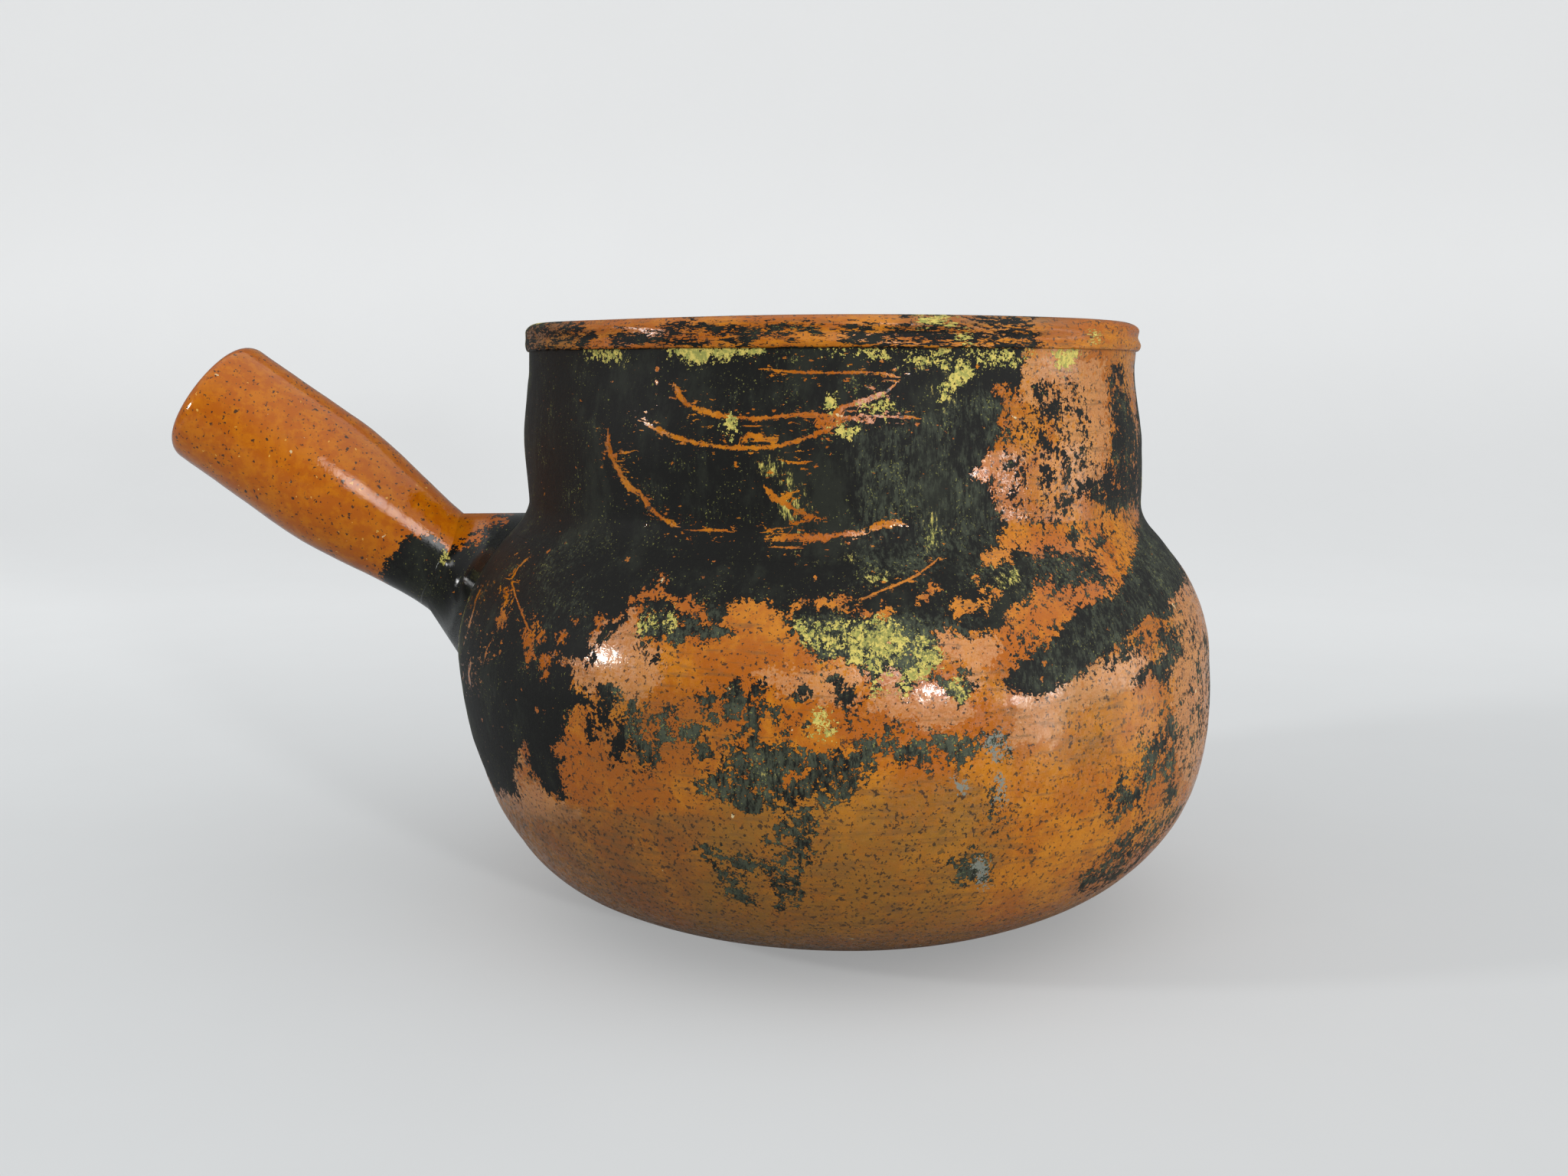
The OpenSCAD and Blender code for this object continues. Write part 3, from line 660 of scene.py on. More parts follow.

# Tones: how grey and worn the black is, how much ochre is smeared through it, and how smoked
# brown or olive the glaze is. Each has its layer, name, strength and outlines.
TONES = [
    ("worn", "right shoulder", 0.5, [(1330, 660), (1600, 640), (1600, 900), (1480, 930), (1320, 900)]),
    ("worn", "collar at the right", 0.5, [(1100, 560), (1320, 500), (1320, 760), (1120, 760)]),
    ("worn", "right edge of the collar", 0.25, [(1440, 470), (1510, 470), (1510, 680), (1440, 680)]),
    ("worn", "islands on the belly", 0.8, [(780, 880), (1330, 940), (1330, 1200), (900, 1200)]),
    ("worn", "under the shoulder", 0.8,
     [(830, 795), (960, 795), (1040, 810), (1280, 800), (1280, 930), (1040, 900), (960, 850),
      (830, 850)]),
    ("worn", "right side of the belly", 0.7,
     [(1420, 920), (1570, 900), (1570, 1080), (1400, 1190), (1400, 1100)]),
    ("worn", "left shoulder", 0.25, [(690, 690), (780, 690), (780, 830), (690, 850)]),
    ("olive", "olive under the belt", 0.7,
     [(930, 1040), (1280, 1010), (1330, 1100), (1260, 1220), (900, 1240)]),
    ("olive", "yellowish right side", 0.28,
     [(1300, 880), (1560, 780), (1560, 1060), (1400, 1180), (1280, 1180)]),
    ("olive", "collar at the right", 0.22, [(1300, 450), (1520, 450), (1520, 690), (1300, 690)]),
    ("olive", "olive right of the loop", 0.5, [(1380, 880), (1480, 890), (1460, 1010), (1360, 1010)]),
    ("smoke", "brown at the left", 0.7,
     [(620, 1040), (700, 1060), (1000, 1050), (1010, 1220), (800, 1200)]),
    ("smoke", "brown under the belt", 0.4,
     [(1000, 1080), (1260, 1040), (1290, 1120), (1200, 1200), (1000, 1200)]),
    ("smoke", "brown between the islands", 0.3, [(780, 900), (960, 900), (960, 1060), (760, 1060)]),
    ("smoke", "worn left end of the lip", 0.75, [(660, 400), (745, 400), (745, 456), (660, 460)]),
    ("smoke", "dark top of the lip", 0.6, [(1180, 400), (1400, 400), (1400, 428), (1180, 424)]),
    ("smear", "behind the handle's root", 0.9,
     [(590, 730), (604, 732), (618, 745), (612, 762), (596, 766)]),
    ("smear", "under the lip at the left", 0.3, [(740, 455), (860, 455), (860, 500), (780, 490)]),
    ("smear", "under the lip in the middle", 0.35,
     [(960, 455), (1340, 455), (1330, 490), (1200, 500), (1000, 480)]),
    ("smear", "smears on the black", 0.55,
     [(1205, 495), (1235, 490), (1262, 505), (1245, 545), (1215, 545), (1195, 560)],
     [(1275, 480), (1290, 490), (1300, 515), (1320, 490), (1332, 500), (1325, 470)]),
    ("smear", "smears beside the zigzag", 0.85,
     [(975, 600), (1045, 590), (1055, 620), (1065, 665), (1040, 690), (1010, 680), (1015, 640),
      (990, 630)]),
    ("smear", "smears on the shoulder", 0.8,
     [(1020, 712), (1045, 712), (1062, 735), (1055, 742), (1030, 735)],
     [(1090, 706), (1108, 704), (1120, 725), (1118, 738), (1106, 735)],
     [(1125, 745), (1150, 742), (1175, 745), (1175, 760), (1150, 768), (1128, 764)],
     [(1205, 660), (1235, 660), (1230, 720), (1205, 722)],
     [(1290, 740), (1340, 745), (1335, 780), (1300, 775)]),
    ("smear", "field under the shoulder", 1, *OCHRE_FIELD),
    ("smear", "in the loop", 0.9, *OCHRE_LOOP),
    ("smear", "in the island", 0.9, *OCHRE_ISLAND),
    ("smear", "grains in the belt", 0.5,
     [(960, 985), (1060, 985), (1100, 1000), (1110, 1030), (1040, 1045), (980, 1030), (930, 1035),
      (940, 1010)]),
]

# beyond this many millimetres from an outline a stored depth is held
FAR = 8.0
# what the scratch layers hold away from every scratch: half widths, and millimetres
NO_SCRATCH_SIDE = 9.0
NO_SCRATCH_AWAY = 20.0
# how many pixels outside the box of an outline or a scratch its distance is still measured
PATCH_REACH = 45.0
SCRATCH_REACH = 30.0


def photo_pixels(points):
    """Pixels of points in the photograph's frame, and millimetres per pixel there: the pinhole
    projection x = f X / depth about the frame's middle, for a camera turned and pitched."""
    offset = points - np.array(CAMERA_PLACE)
    cos_y, sin_y = math.cos(CAMERA_YAW), math.sin(CAMERA_YAW)
    right = offset[:, 0] * cos_y + offset[:, 1] * sin_y
    ahead = -offset[:, 0] * sin_y + offset[:, 1] * cos_y
    cos_p, sin_p = math.cos(CAMERA_PITCH), math.sin(CAMERA_PITCH)
    depth = ahead * cos_p - offset[:, 2] * sin_p
    up = ahead * sin_p + offset[:, 2] * cos_p
    x = PHOTO_SIZE[0] / 2 + FOCAL * right / depth
    y = PHOTO_SIZE[1] / 2 - FOCAL * up / depth
    return np.stack([x, y], -1), depth / FOCAL


def pixels_near(pixels, outline, reach):
    """Which pixels lie in the box of an outline, widened by a reach."""
    return ((pixels > outline.min(0) - reach) & (pixels < outline.max(0) + reach)).all(1)


def segment_distance(pixels, start, end):
    """Distance to a segment, and on which side of it a point lies."""
    run = end - start
    share = np.clip(((pixels - start) @ run) / max(run @ run, 1e-9), 0, 1)
    away = pixels - start - share[:, None] * run
    side = run[0] * away[:, 1] - run[1] * away[:, 0]
    return np.hypot(away[:, 0], away[:, 1]), np.where(side < 0, -1.0, 1.0)


def patch_depth(pixels, scale, outline):
    """Signed distance in millimetres to an outline, positive inside: the least distance to its
    sides, with the sign of the crossing count. Beyond FAR it is held."""
    outline = np.array(outline, float)
    near = pixels_near(pixels, outline, PATCH_REACH)
    spot = pixels[near]
    least = np.full(len(spot), np.inf)
    inside = np.zeros(len(spot), bool)
    for start, end in zip(outline, np.roll(outline, -1, axis=0)):
        least = np.minimum(least, segment_distance(spot, start, end)[0])
        spans = (start[1] > spot[:, 1]) != (end[1] > spot[:, 1])
        rise = end[1] - start[1] if end[1] != start[1] else 1.0
        crossing = start[0] + (spot[:, 1] - start[1]) * (end[0] - start[0]) / rise
        inside ^= spans & (spot[:, 0] < crossing)
    depth = np.full(len(pixels), -FAR)
    depth[near] = np.clip(np.where(inside, least, -least) * scale[near], -FAR, FAR)
    return depth


def lay_patches(patches, pixels, scale, layers):
    """Lays paint patches one after the other: paint is the greater of what is there and the
    patch, a bare flake the lesser, and the raggedness of the last patch near a point holds."""
    for layer, _, level, ragged, *outlines in patches:
        rags = {"coat": "ragged", "ochre": "ochre_ragged"}.get(layer)
        for outline in outlines:
            depth = patch_depth(pixels, scale, outline)
            if layer == "bare":
                layers["coat"] = np.minimum(layers["coat"], np.maximum(-depth, -level))
                layers["ragged"] += (ragged - layers["ragged"]) * smooth_step(depth + 1.0)
            else:
                layers[layer] = np.maximum(layers[layer], np.minimum(depth, level))
            if rags:
                layers[rags] += (ragged - layers[rags]) * smooth_step((depth + 2.0) / 2.0)


def lay_scratches(pixels, scale):
    """Side of the nearest scratch in half widths, signed so that the middle line stays sharp
    between vertices, and the distance to it in millimetres."""
    side = np.full(len(pixels), NO_SCRATCH_SIDE)
    away = np.full(len(pixels), NO_SCRATCH_AWAY)
    for _, width, *lines in SCRATCHES:
        for line in lines:
            line = np.array(line, float)
            near = pixels_near(pixels, line, SCRATCH_REACH)
            for start, end in zip(line[:-1], line[1:]):
                distance, sign = segment_distance(pixels[near], start, end)
                closer = distance * scale[near] < away[near]
                where = np.flatnonzero(near)[closer]
                away[where] = (distance * scale[near])[closer]
                side[where] = (sign * distance / (width / 2))[closer]
    return side, away


def lay_tones(pixels, scale, layers):
    """Soft tones, faded over some millimetres across their outlines."""
    fade = 10.0
    for layer, _, strength, *outlines in TONES:
        for outline in outlines:
            share = strength * smooth_step(patch_depth(pixels, scale, outline) / fade + 0.5)
            layers[layer] = np.maximum(layers[layer], share)


def wander(angle, z, seed):
    """Slow seeded noise over the wall, about -1 to 1: a sum of sines round and up the pot."""
    draw = np.random.default_rng(seed)
    steepest = 0.14
    total = np.zeros_like(angle)
    for _ in range(14):
        turns = draw.integers(1, 10)
        rise = draw.uniform(-steepest, steepest)
        total = total + np.sin(turns * angle + rise * z + draw.uniform(0, 6.28)) / (1 + 0.12 * turns)
    return total / 2.6


# depth of the made-up coat at some heights
BACK_COAT = [(20, -6), (45, -4), (70, -2.2), (95, -0.8), (120, 2.5), (150, 3.5), (190, 2.5), (215, 1.5)]


def back_layers(angle, z):
    """Paint on the sides that the photograph doesn't show: black over collar and shoulder with
    bare windows, thinning out down the belly, solid black on the flank under the handle, some
    ochre above, and a lower belly browned and darkened towards the bottom."""
    flank = smooth_step((np.cos(angle + math.pi / 2) - 0.75) / 0.25) * smooth_step((z - 35) / 30)
    coat = table(BACK_COAT, z) + 7.0 * flank + 3.4 * wander(angle, z, 5)
    low = smooth_step((110 - z) / 60)
    return {
        "coat": np.clip(coat, -FAR, FAR),
        "ragged": np.full(len(z), 0.45),
        "ochre": np.clip(-5.2 + 3.6 * wander(angle, z, 11) - 4.0 * low, -FAR, 0.3),
        "ochre_ragged": np.full(len(z), 0.6),
        "pale": 3.0 * wander(angle, z, 17) - 1.5,
        "worn": np.clip(0.3 + 0.5 * wander(angle, z, 3), 0, 1),
        "smear": np.clip(0.8 * wander(angle, z, 19) - 0.45, 0, 0.6),
        "olive": np.clip(0.5 * wander(angle, z, 7), 0, 1) * low,
        "smoke": 0.5 * smooth_step((75 - z) / 50)}


def paint_layers(points, normals, patches, mirror=False):
    """All the layers at some points: the photograph's side where the wall faces its camera, and
    the made-up paint elsewhere, faded into each other at the outline. With mirror set, the side
    away from the camera repeats the near one, as on the handle."""
    seen = points.copy()
    if mirror:
        seen[:, 1] = -np.abs(seen[:, 1])
        share = np.ones(len(points))
    else:
        facing = np.array(CAMERA_PLACE) - points
        facing /= np.linalg.norm(facing, axis=1, keepdims=True)
        edge_on, fade = 0.02, 0.14
        share = smooth_step(((facing * normals).sum(1) - edge_on) / fade)
    pixels, scale = photo_pixels(seen)
    layers = {name: np.full(len(points), -FAR) for name in ("coat", "ochre", "pale", "grey")}
    layers |= {name: np.full(len(points), 0.3) for name in ("ragged", "ochre_ragged")}
    layers |= {name: np.zeros(len(points)) for name in ("worn", "olive", "smoke", "smear")}
    lay_patches(patches, pixels, scale, layers)
    side, away = lay_scratches(pixels, scale)
    lay_tones(pixels, scale, layers)
    z = points[:, 2]
    for name, values in back_layers(np.arctan2(points[:, 0], -points[:, 1]), z).items():
        layers[name] = values + (layers[name] - values) * share
    # painted shade: all round the pot the brown layer rises towards the floor, standing in for the shade
    # under the belly
    layers["smoke"] = np.maximum(layers["smoke"], smooth_step((44 - z) / 40))
    layers["scratch_side"] = side
    layers["scratch_away"] = np.where(share > 0.5, away, NO_SCRATCH_AWAY)
    return layers


def rgba(color):
    """The four numbers of a colour socket from a colour's three. A link passes as it is."""
    return color if isinstance(color, bpy.types.NodeSocket) else tuple(color)[:3] + (1.0,)


class Recipe:
    """Short names for making the nodes of a material or of the world."""

    def __init__(self, owner):
        owner.use_nodes = True
        self.owner = owner
        self.tree = owner.node_tree
        self.tree.nodes.clear()

    def node(self, kind, inputs=(), **settings):
        """Adds a node, and links or sets its inputs, given as a dictionary by name or number."""
        made = self.tree.nodes.new(kind)
        for name, value in settings.items():
            setattr(made, name, value)
        for name, value in dict(inputs).items():
            if isinstance(value, bpy.types.NodeSocket):
                self.tree.links.new(value, made.inputs[name])
            else:
                made.inputs[name].default_value = value
        return made

    def math(self, operation, *values):
        """One operation, carried on through all the values that follow the first two."""
        total = values[0]
        for value in values[1:] or (0.0,):
            total = self.node("ShaderNodeMath", {0: total, 1: value}, operation=operation).outputs[0]
        return total

    def add(self, *values):
        """Sum of values."""
        return self.math("ADD", *values)

    def times(self, *values):
        """Product of values."""
        return self.math("MULTIPLY", *values)

    def most(self, *values):
        """Greatest of values."""
        return self.math("MAXIMUM", *values)

    def scaled(self, value, factor, offset=0.0):
        """value * factor + offset."""
        return self.node("ShaderNodeMath", {0: value, 1: factor, 2: offset},
                         operation="MULTIPLY_ADD").outputs[0]

    def level(self, value, low, high):
        """Smooth rise from 0 to 1 between two values."""
        return self.node("ShaderNodeMapRange", {"Value": value, "From Min": low, "From Max": high},
                         interpolation_type="SMOOTHSTEP").outputs["Result"]

    def blend(self, share, first, second):
        """Mixes two colours."""
        return self.node("ShaderNodeMix", {0: share, 6: rgba(first), 7: rgba(second)},
                         data_type="RGBA", clamp_factor=True).outputs[2]

    def mixed(self, share, first, second):
        """Mixes two numbers."""
        return self.node("ShaderNodeMix", {0: share, 2: first, 3: second},
                         data_type="FLOAT").outputs[0]

    def noise(self, vector, scale, detail=3.0, roughness=0.6, output="Fac"):
        """Fractal noise, scale in features per metre, about 0.3 to 0.7."""
        return self.node("ShaderNodeTexNoise", {
            "Vector": vector, "Scale": scale, "Detail": detail, "Roughness": roughness}).outputs[output]

    def cells(self, vector, scale, feature="F1"):
        """Cells of scattered points."""
        return self.node("ShaderNodeTexVoronoi", {"Vector": vector, "Scale": scale}, feature=feature)

    def place(self, stretch=(1, 1, 1), shift=(0, 0, 0)):
        """Object coordinates, stretched and shifted."""
        coordinates = self.node("ShaderNodeTexCoord").outputs["Object"]
        return self.node("ShaderNodeMapping", {
            "Vector": coordinates, "Scale": stretch, "Location": shift}).outputs["Vector"]

    def shaken(self, vector, scale, reach):
        """Coordinates moved about by noise, so that round dots lose their roundness."""
        noise = self.noise(vector, scale, 2.0, 0.5, "Color")
        shift = self.node("ShaderNodeVectorMath", {0: noise, 3: reach * 2}, operation="SCALE").outputs[0]
        return self.node("ShaderNodeVectorMath", {0: vector, 1: shift}, operation="ADD").outputs[0]

    def grains(self, vector, scale, chance, size):
        """Scattered dots: a share of the cells has one, of random size up to a share of the cell."""
        cells = self.cells(vector, scale)
        pick = self.node("ShaderNodeSeparateColor", {0: cells.outputs["Color"]}).outputs[0]
        radius = self.scaled(self.level(pick, 1 - chance, 1.0), size)
        return self.math("LESS_THAN", cells.outputs["Distance"], radius)

    def value(self, name):
        """A number stored on the piece's vertices."""
        return self.node("ShaderNodeAttribute", attribute_name=name).outputs["Fac"]

    def axes(self, vector):
        """The three numbers of a vector."""
        return self.node("ShaderNodeSeparateXYZ", {0: vector}).outputs

    def finish(self, color, roughness, height, specular=0.5, tint=(1.0, 1.0, 1.0)):
        """Ends a material in a Principled shader whose bump reads a height in millimetres."""
        bump = self.node("ShaderNodeBump", {"Height": height, "Distance": MM, "Strength": 1.0})
        shader = self.node("ShaderNodeBsdfPrincipled", {
            "Base Color": color, "Roughness": roughness, "Normal": bump.outputs["Normal"],
            "Specular IOR Level": specular, "Specular Tint": rgba(tint)})
        self.node("ShaderNodeOutputMaterial", {"Surface": shader.outputs[0]})
        return self.owner


# features per metre of the finest grain in every finish
GRAIN = 1500.0
# features per metre and reach in metres of the noise that takes the roundness from dots
SHAKE = (900.0, 0.0011)
# features per metre of the body's slow pools of glaze
POOLS = 42.0
# how many millimetres the flake noise moves an edge at full raggedness
RAG_REACH = 24.0


def flake_depth(recipe, depth, ragged, vector, coarse):
    """Stored depth of a paint layer, shaken by noise of three grains that grow with its
    raggedness, and by a little of the two finer ones that is always there."""
    big, middle, fine = (
        recipe.scaled(recipe.noise(vector, coarse * times, 2.0), 1.0, -0.5) for times in (1.0, 3.4, 9.0))
    rags = recipe.add(middle, recipe.scaled(fine, 0.7), big)
    rags = recipe.times(ragged, recipe.scaled(rags, RAG_REACH))
    edge = recipe.add(recipe.scaled(middle, 3.2), recipe.scaled(fine, 2.2))
    return recipe.add(rags, edge, depth)


def painted(recipe, layer, ragged, vector, coarse, edge=0.1):
    """Where a paint layer lies, as 1 inside its flakes and 0 outside with an edge in millimetres,
    and its shaken depth."""
    depth = flake_depth(recipe, recipe.value(layer), ragged, vector, coarse)
    return recipe.level(depth, -edge, edge), depth


def glaze_color(recipe, vector, shaken, tones, colors, specks, pool_scale):
    """Glaze in two tones: slow pools, drips that run down, a fine mottle, and iron specks."""
    light, deep = tones
    pools = recipe.level(recipe.noise(vector, pool_scale, 5.0, 0.7), 0.42, 0.58)
    color = recipe.blend(pools, deep, light)
    drips = recipe.level(recipe.noise(recipe.place((1, 1, 0.14)), 230.0, 4.0, 0.7), 0.48, 0.68)
    color = recipe.blend(recipe.scaled(drips, 0.6), color, deep)
    mottle = recipe.level(recipe.noise(vector, 300.0, 5.0, 0.75), 0.45, 0.64)
    color = recipe.blend(recipe.scaled(mottle, 0.4), color, deep)
    dots = recipe.most(recipe.grains(shaken, 250.0, specks, 0.2),
                       recipe.grains(shaken, 620.0, 1.3 * specks, 0.3))
    return recipe.blend(recipe.scaled(dots, 0.92), color, colors.speck)


def soiled_glaze(recipe, glaze, blotch, soiled, colors):
    """Browned and olive patches, painted shade in the brown near the floor, soot in the pits and in
    the throwing lines, and pale crumbs. Gives the colour and how dirty or shaded each place is."""
    patchy = recipe.scaled(recipe.level(blotch, 0.36, 0.6), 0.5, 0.5)
    # the brown layer is smoked glaze and, near the floor, painted shade under the belly
    smoke = recipe.times(recipe.value("smoke"), patchy)
    olive = recipe.times(recipe.value("olive"), patchy)
    dirt_and_shade = recipe.most(smoke, olive)
    color = recipe.blend(smoke, glaze, colors.smoke)
    color = recipe.blend(olive, color, colors.olive)
    lines = recipe.noise(recipe.place((0.12, 0.12, 1)), 560.0, 4.0, 0.7)
    lines = recipe.level(recipe.add(lines, recipe.scaled(dirt_and_shade, 0.1)), 0.55, 0.66)
    color = recipe.blend(recipe.scaled(lines, soiled), color, colors.smoke)
    soot = recipe.add(recipe.noise(recipe.place(), 700.0, 2.0, 0.7), recipe.scaled(dirt_and_shade, 0.05))
    threshold = 0.66 - 0.1 * soiled
    soot = recipe.level(soot, threshold, threshold + 0.03)
    color = recipe.blend(recipe.scaled(soot, 0.85), color, colors.speck)
    apart = recipe.shaken(recipe.place(shift=(0.6, 0.2, 0.9)), 500.0, 0.002)
    crumbs = recipe.grains(apart, 230.0, 0.05, 0.17)
    return recipe.blend(recipe.scaled(crumbs, 0.8), color, colors.crumb), dirt_and_shade


def coat_color(recipe, other, depth, cloud, colors):
    """Black paint: wiped grey-green where it is worn, dusted with green-yellow, and smeared with
    ochre."""
    worn = recipe.add(recipe.value("worn"), recipe.scaled(cloud, 1.8, -0.9))
    worn = recipe.node("ShaderNodeClamp", {0: worn}).outputs[0]
    wiped = recipe.noise(recipe.place((1, 1, 0.3)), 760.0, 5.0, 0.8)
    rubbed = recipe.level(recipe.add(wiped, recipe.scaled(worn, 0.2)), 0.54, 0.72)
    rubbed = recipe.times(rubbed, recipe.level(depth, 0.0, 1.2), recipe.scaled(worn, 0.8, 0.12))
    haze = recipe.level(recipe.noise(recipe.place((1, 1, 0.5)), 60.0, 5.0, 0.7), 0.5, 0.66)
    black = recipe.blend(recipe.scaled(haze, 0.16), colors.black, colors.worn_black)
    black = recipe.blend(rubbed, black, colors.worn_black)
    crowd = recipe.add(recipe.scaled(worn, 0.05), recipe.scaled(cloud, 0.4, -0.2))
    dust = recipe.level(recipe.add(recipe.noise(other, GRAIN, 2.0), crowd), 0.685, 0.74)
    black = recipe.blend(recipe.scaled(dust, 0.6), black, colors.ochre_green)
    smear = recipe.add(recipe.scaled(wiped, 0.6), recipe.scaled(cloud, 0.4),
                       recipe.scaled(recipe.value("smear"), 0.2))
    yellow = recipe.blend(recipe.level(wiped, 0.54, 0.6), colors.ochre_green, colors.ochre)
    return recipe.blend(recipe.scaled(recipe.level(smear, 0.66, 0.72), 0.85), black, yellow)


def lost_coat(recipe, vector, other, shaken):
    """Where the coat is scratched or pitted: scratches broken by noise, splinters that crowd
    round them, and small pits."""
    side = recipe.math("ABSOLUTE", recipe.value("scratch_side"))
    shake = recipe.scaled(recipe.noise(other, 520.0, 5.0, 0.8), 6.4, -3.2)
    broken = recipe.scaled(recipe.noise(vector, 170.0), -3.6, 1.5)
    away = recipe.value("scratch_away")
    scratch = recipe.times(recipe.level(recipe.add(shake, broken, side), 1.15, 0.95),
                           recipe.level(away, 2.4, 2.0))
    crowd = recipe.scaled(recipe.level(away, 8.0, 0.5), 0.1)
    splinter = recipe.noise(recipe.place((0.7, 0.7, 1.6)), 520.0, 3.0, 0.65)
    splinter = recipe.level(recipe.add(splinter, crowd), 0.705, 0.72)
    return recipe.most(splinter, recipe.grains(shaken, 210.0, 0.09, 0.2), scratch)


def painted_glaze(name, colors, tones=("glaze", "glaze_deep"), stretch=(1, 1, 1), gloss=0.08,
                  coat_gloss=0.6, coat_shine=0.26, soiled=0.5, pale_specks=False, pool_scale=POOLS):
    """The finish of most pieces: glaze, then the black coat, the ochre and the grey chips where
    their stored depth, shaken by flake noise, is above zero, less the scratches."""
    recipe = Recipe(bpy.data.materials.new(name))
    vector = recipe.place(stretch)
    other = recipe.place(stretch, (0.37, 0.11, 0.23))
    shaken = recipe.shaken(other, *SHAKE)
    grain = recipe.noise(other, GRAIN, 3.0, 0.75)
    cloud = recipe.noise(other, 95.0, 5.0, 0.65)
    blotch = recipe.scaled(recipe.add(cloud, recipe.noise(vector, 330.0, 4.0, 0.75)), 0.5)

    coat, depth = painted(recipe, "coat", recipe.value("ragged"), vector, 150.0, 0.07)
    coat = recipe.times(coat, recipe.scaled(lost_coat(recipe, vector, other, shaken), -1.0, 1.0))
    ochre = painted(recipe, "ochre", recipe.value("ochre_ragged"), other, 230.0)[0]
    chip = painted(recipe, "grey", 0.22, other, 260.0)[0]
    pale = painted(recipe, "pale", 0.25, other, 120.0, 0.3)[0]

    tones = [getattr(colors, tone) for tone in tones]
    glaze = glaze_color(recipe, vector, shaken, tones, colors, 0.5, pool_scale)
    # painted reflection veil: the pale layer lays salmon thin glaze, which round the highlights and on the
    # collar stands in for the windows' reflection
    thin = recipe.scaled(recipe.level(grain, 0.6, 0.42), 0.4, 0.35)
    glaze = recipe.blend(recipe.times(pale, thin), glaze, colors.glaze_pale_and_sheen)
    if pale_specks:
        dots = recipe.grains(shaken, 360.0, 0.4, 0.17)
        glaze = recipe.blend(recipe.scaled(dots, 0.6), glaze, colors.glaze_bright)
    glaze, dirt_and_shade = soiled_glaze(recipe, glaze, blotch, soiled, colors)
    color = recipe.blend(coat, glaze, coat_color(recipe, other, depth, cloud, colors))
    dirty = recipe.level(recipe.noise(vector, 620.0, 4.0, 0.8), 0.44, 0.58)
    color = recipe.blend(ochre, color, recipe.blend(dirty, colors.ochre, colors.ochre_green))
    color = recipe.blend(chip, color, colors.grey_paint)

    paint = recipe.most(ochre, chip, coat)
    dull = recipe.level(recipe.noise(other, 520.0, 5.0, 0.85), 0.5, 0.53)
    matt = recipe.add(recipe.scaled(grain, 0.12, gloss - 0.06), recipe.scaled(dirt_and_shade, 0.25),
                      recipe.scaled(dull, 0.6 * soiled))
    rough = recipe.mixed(paint, matt, recipe.scaled(grain, 0.2, coat_gloss - 0.1))
    height = recipe.add(recipe.scaled(recipe.noise(vector, 120.0, 2.0, 0.5), 0.16),
                        recipe.scaled(recipe.noise(vector, 520.0), 0.07), recipe.scaled(grain, 0.02),
                        recipe.scaled(coat, 0.08), recipe.scaled(ochre, 0.07))
    tint = recipe.blend(paint, colors.shine, [coat_shine] * 3)
    return recipe.finish(color, rough, height, colors.gloss_level, tint)


def lining_finish(name, colors):
    """Honey-brown glaze of the inside: darker towards the floor, crazed and stained by use."""
    recipe = Recipe(bpy.data.materials.new(name))
    vector = recipe.place()
    color = glaze_color(recipe, vector, recipe.shaken(vector, *SHAKE),
                        (colors.glaze, colors.glaze_deep), colors, 0.3, POOLS)
    color = recipe.blend(0.62, color, colors.lining)
    deep = recipe.times(recipe.level(recipe.axes(vector)[2], 0.11, 0.01),
                        recipe.level(recipe.noise(vector, 30.0, 5.0), 0.3, 0.62))
    color = recipe.blend(recipe.scaled(deep, 0.8), color, colors.smoke)
    stain = recipe.noise(recipe.place(shift=(0.2, 0.4, 0.1)), 60.0, 6.0, 0.7)
    color = recipe.blend(recipe.scaled(recipe.level(stain, 0.56, 0.6), 0.4), color, colors.speck)
    craze = recipe.cells(recipe.shaken(vector, 90.0, 0.003), 120.0, "DISTANCE_TO_EDGE").outputs["Distance"]
    craze = recipe.level(craze, 0.028, 0.012)
    color = recipe.blend(recipe.scaled(craze, 0.5), color, colors.speck)
    grain = recipe.noise(vector, GRAIN, 3.0, 0.7)
    rough = recipe.add(recipe.scaled(grain, 0.15, 0.06), recipe.scaled(deep, 0.2))
    relief = recipe.add(recipe.scaled(recipe.noise(vector, 150.0), 0.2), recipe.scaled(craze, -0.03))
    return recipe.finish(color, rough, relief)


def floor_finish(name, stage):
    """Pale seamless paper with the faintest mottle. The camera sees it a little paler than it is."""
    recipe = Recipe(bpy.data.materials.new(name))
    tint = recipe.level(recipe.noise(recipe.place(), 6.0, 4.0), 0.3, 0.7)
    paint = recipe.blend(tint, stage.floor_color, [0.975 * c for c in stage.floor_color])
    shader = recipe.node("ShaderNodeBsdfDiffuse", {"Color": paint, "Roughness": 0.5})
    place = recipe.axes(recipe.place())
    paler = recipe.add(recipe.scaled(recipe.level(place[2], 0.0, 0.35), 0.14, stage.floor_glow),
                       recipe.scaled(recipe.level(place[1], 0.0, 0.8), 0.16))
    seen = recipe.node("ShaderNodeLightPath").outputs["Is Camera Ray"]
    glow = recipe.node("ShaderNodeEmission", {
        "Color": rgba((1.0, 1.0, 1.0)), "Strength": recipe.times(seen, paler)})
    both = recipe.node("ShaderNodeAddShader", {0: shader.outputs[0], 1: glow.outputs[0]})
    recipe.node("ShaderNodeOutputMaterial", {"Surface": both.outputs[0]})
    return recipe.owner


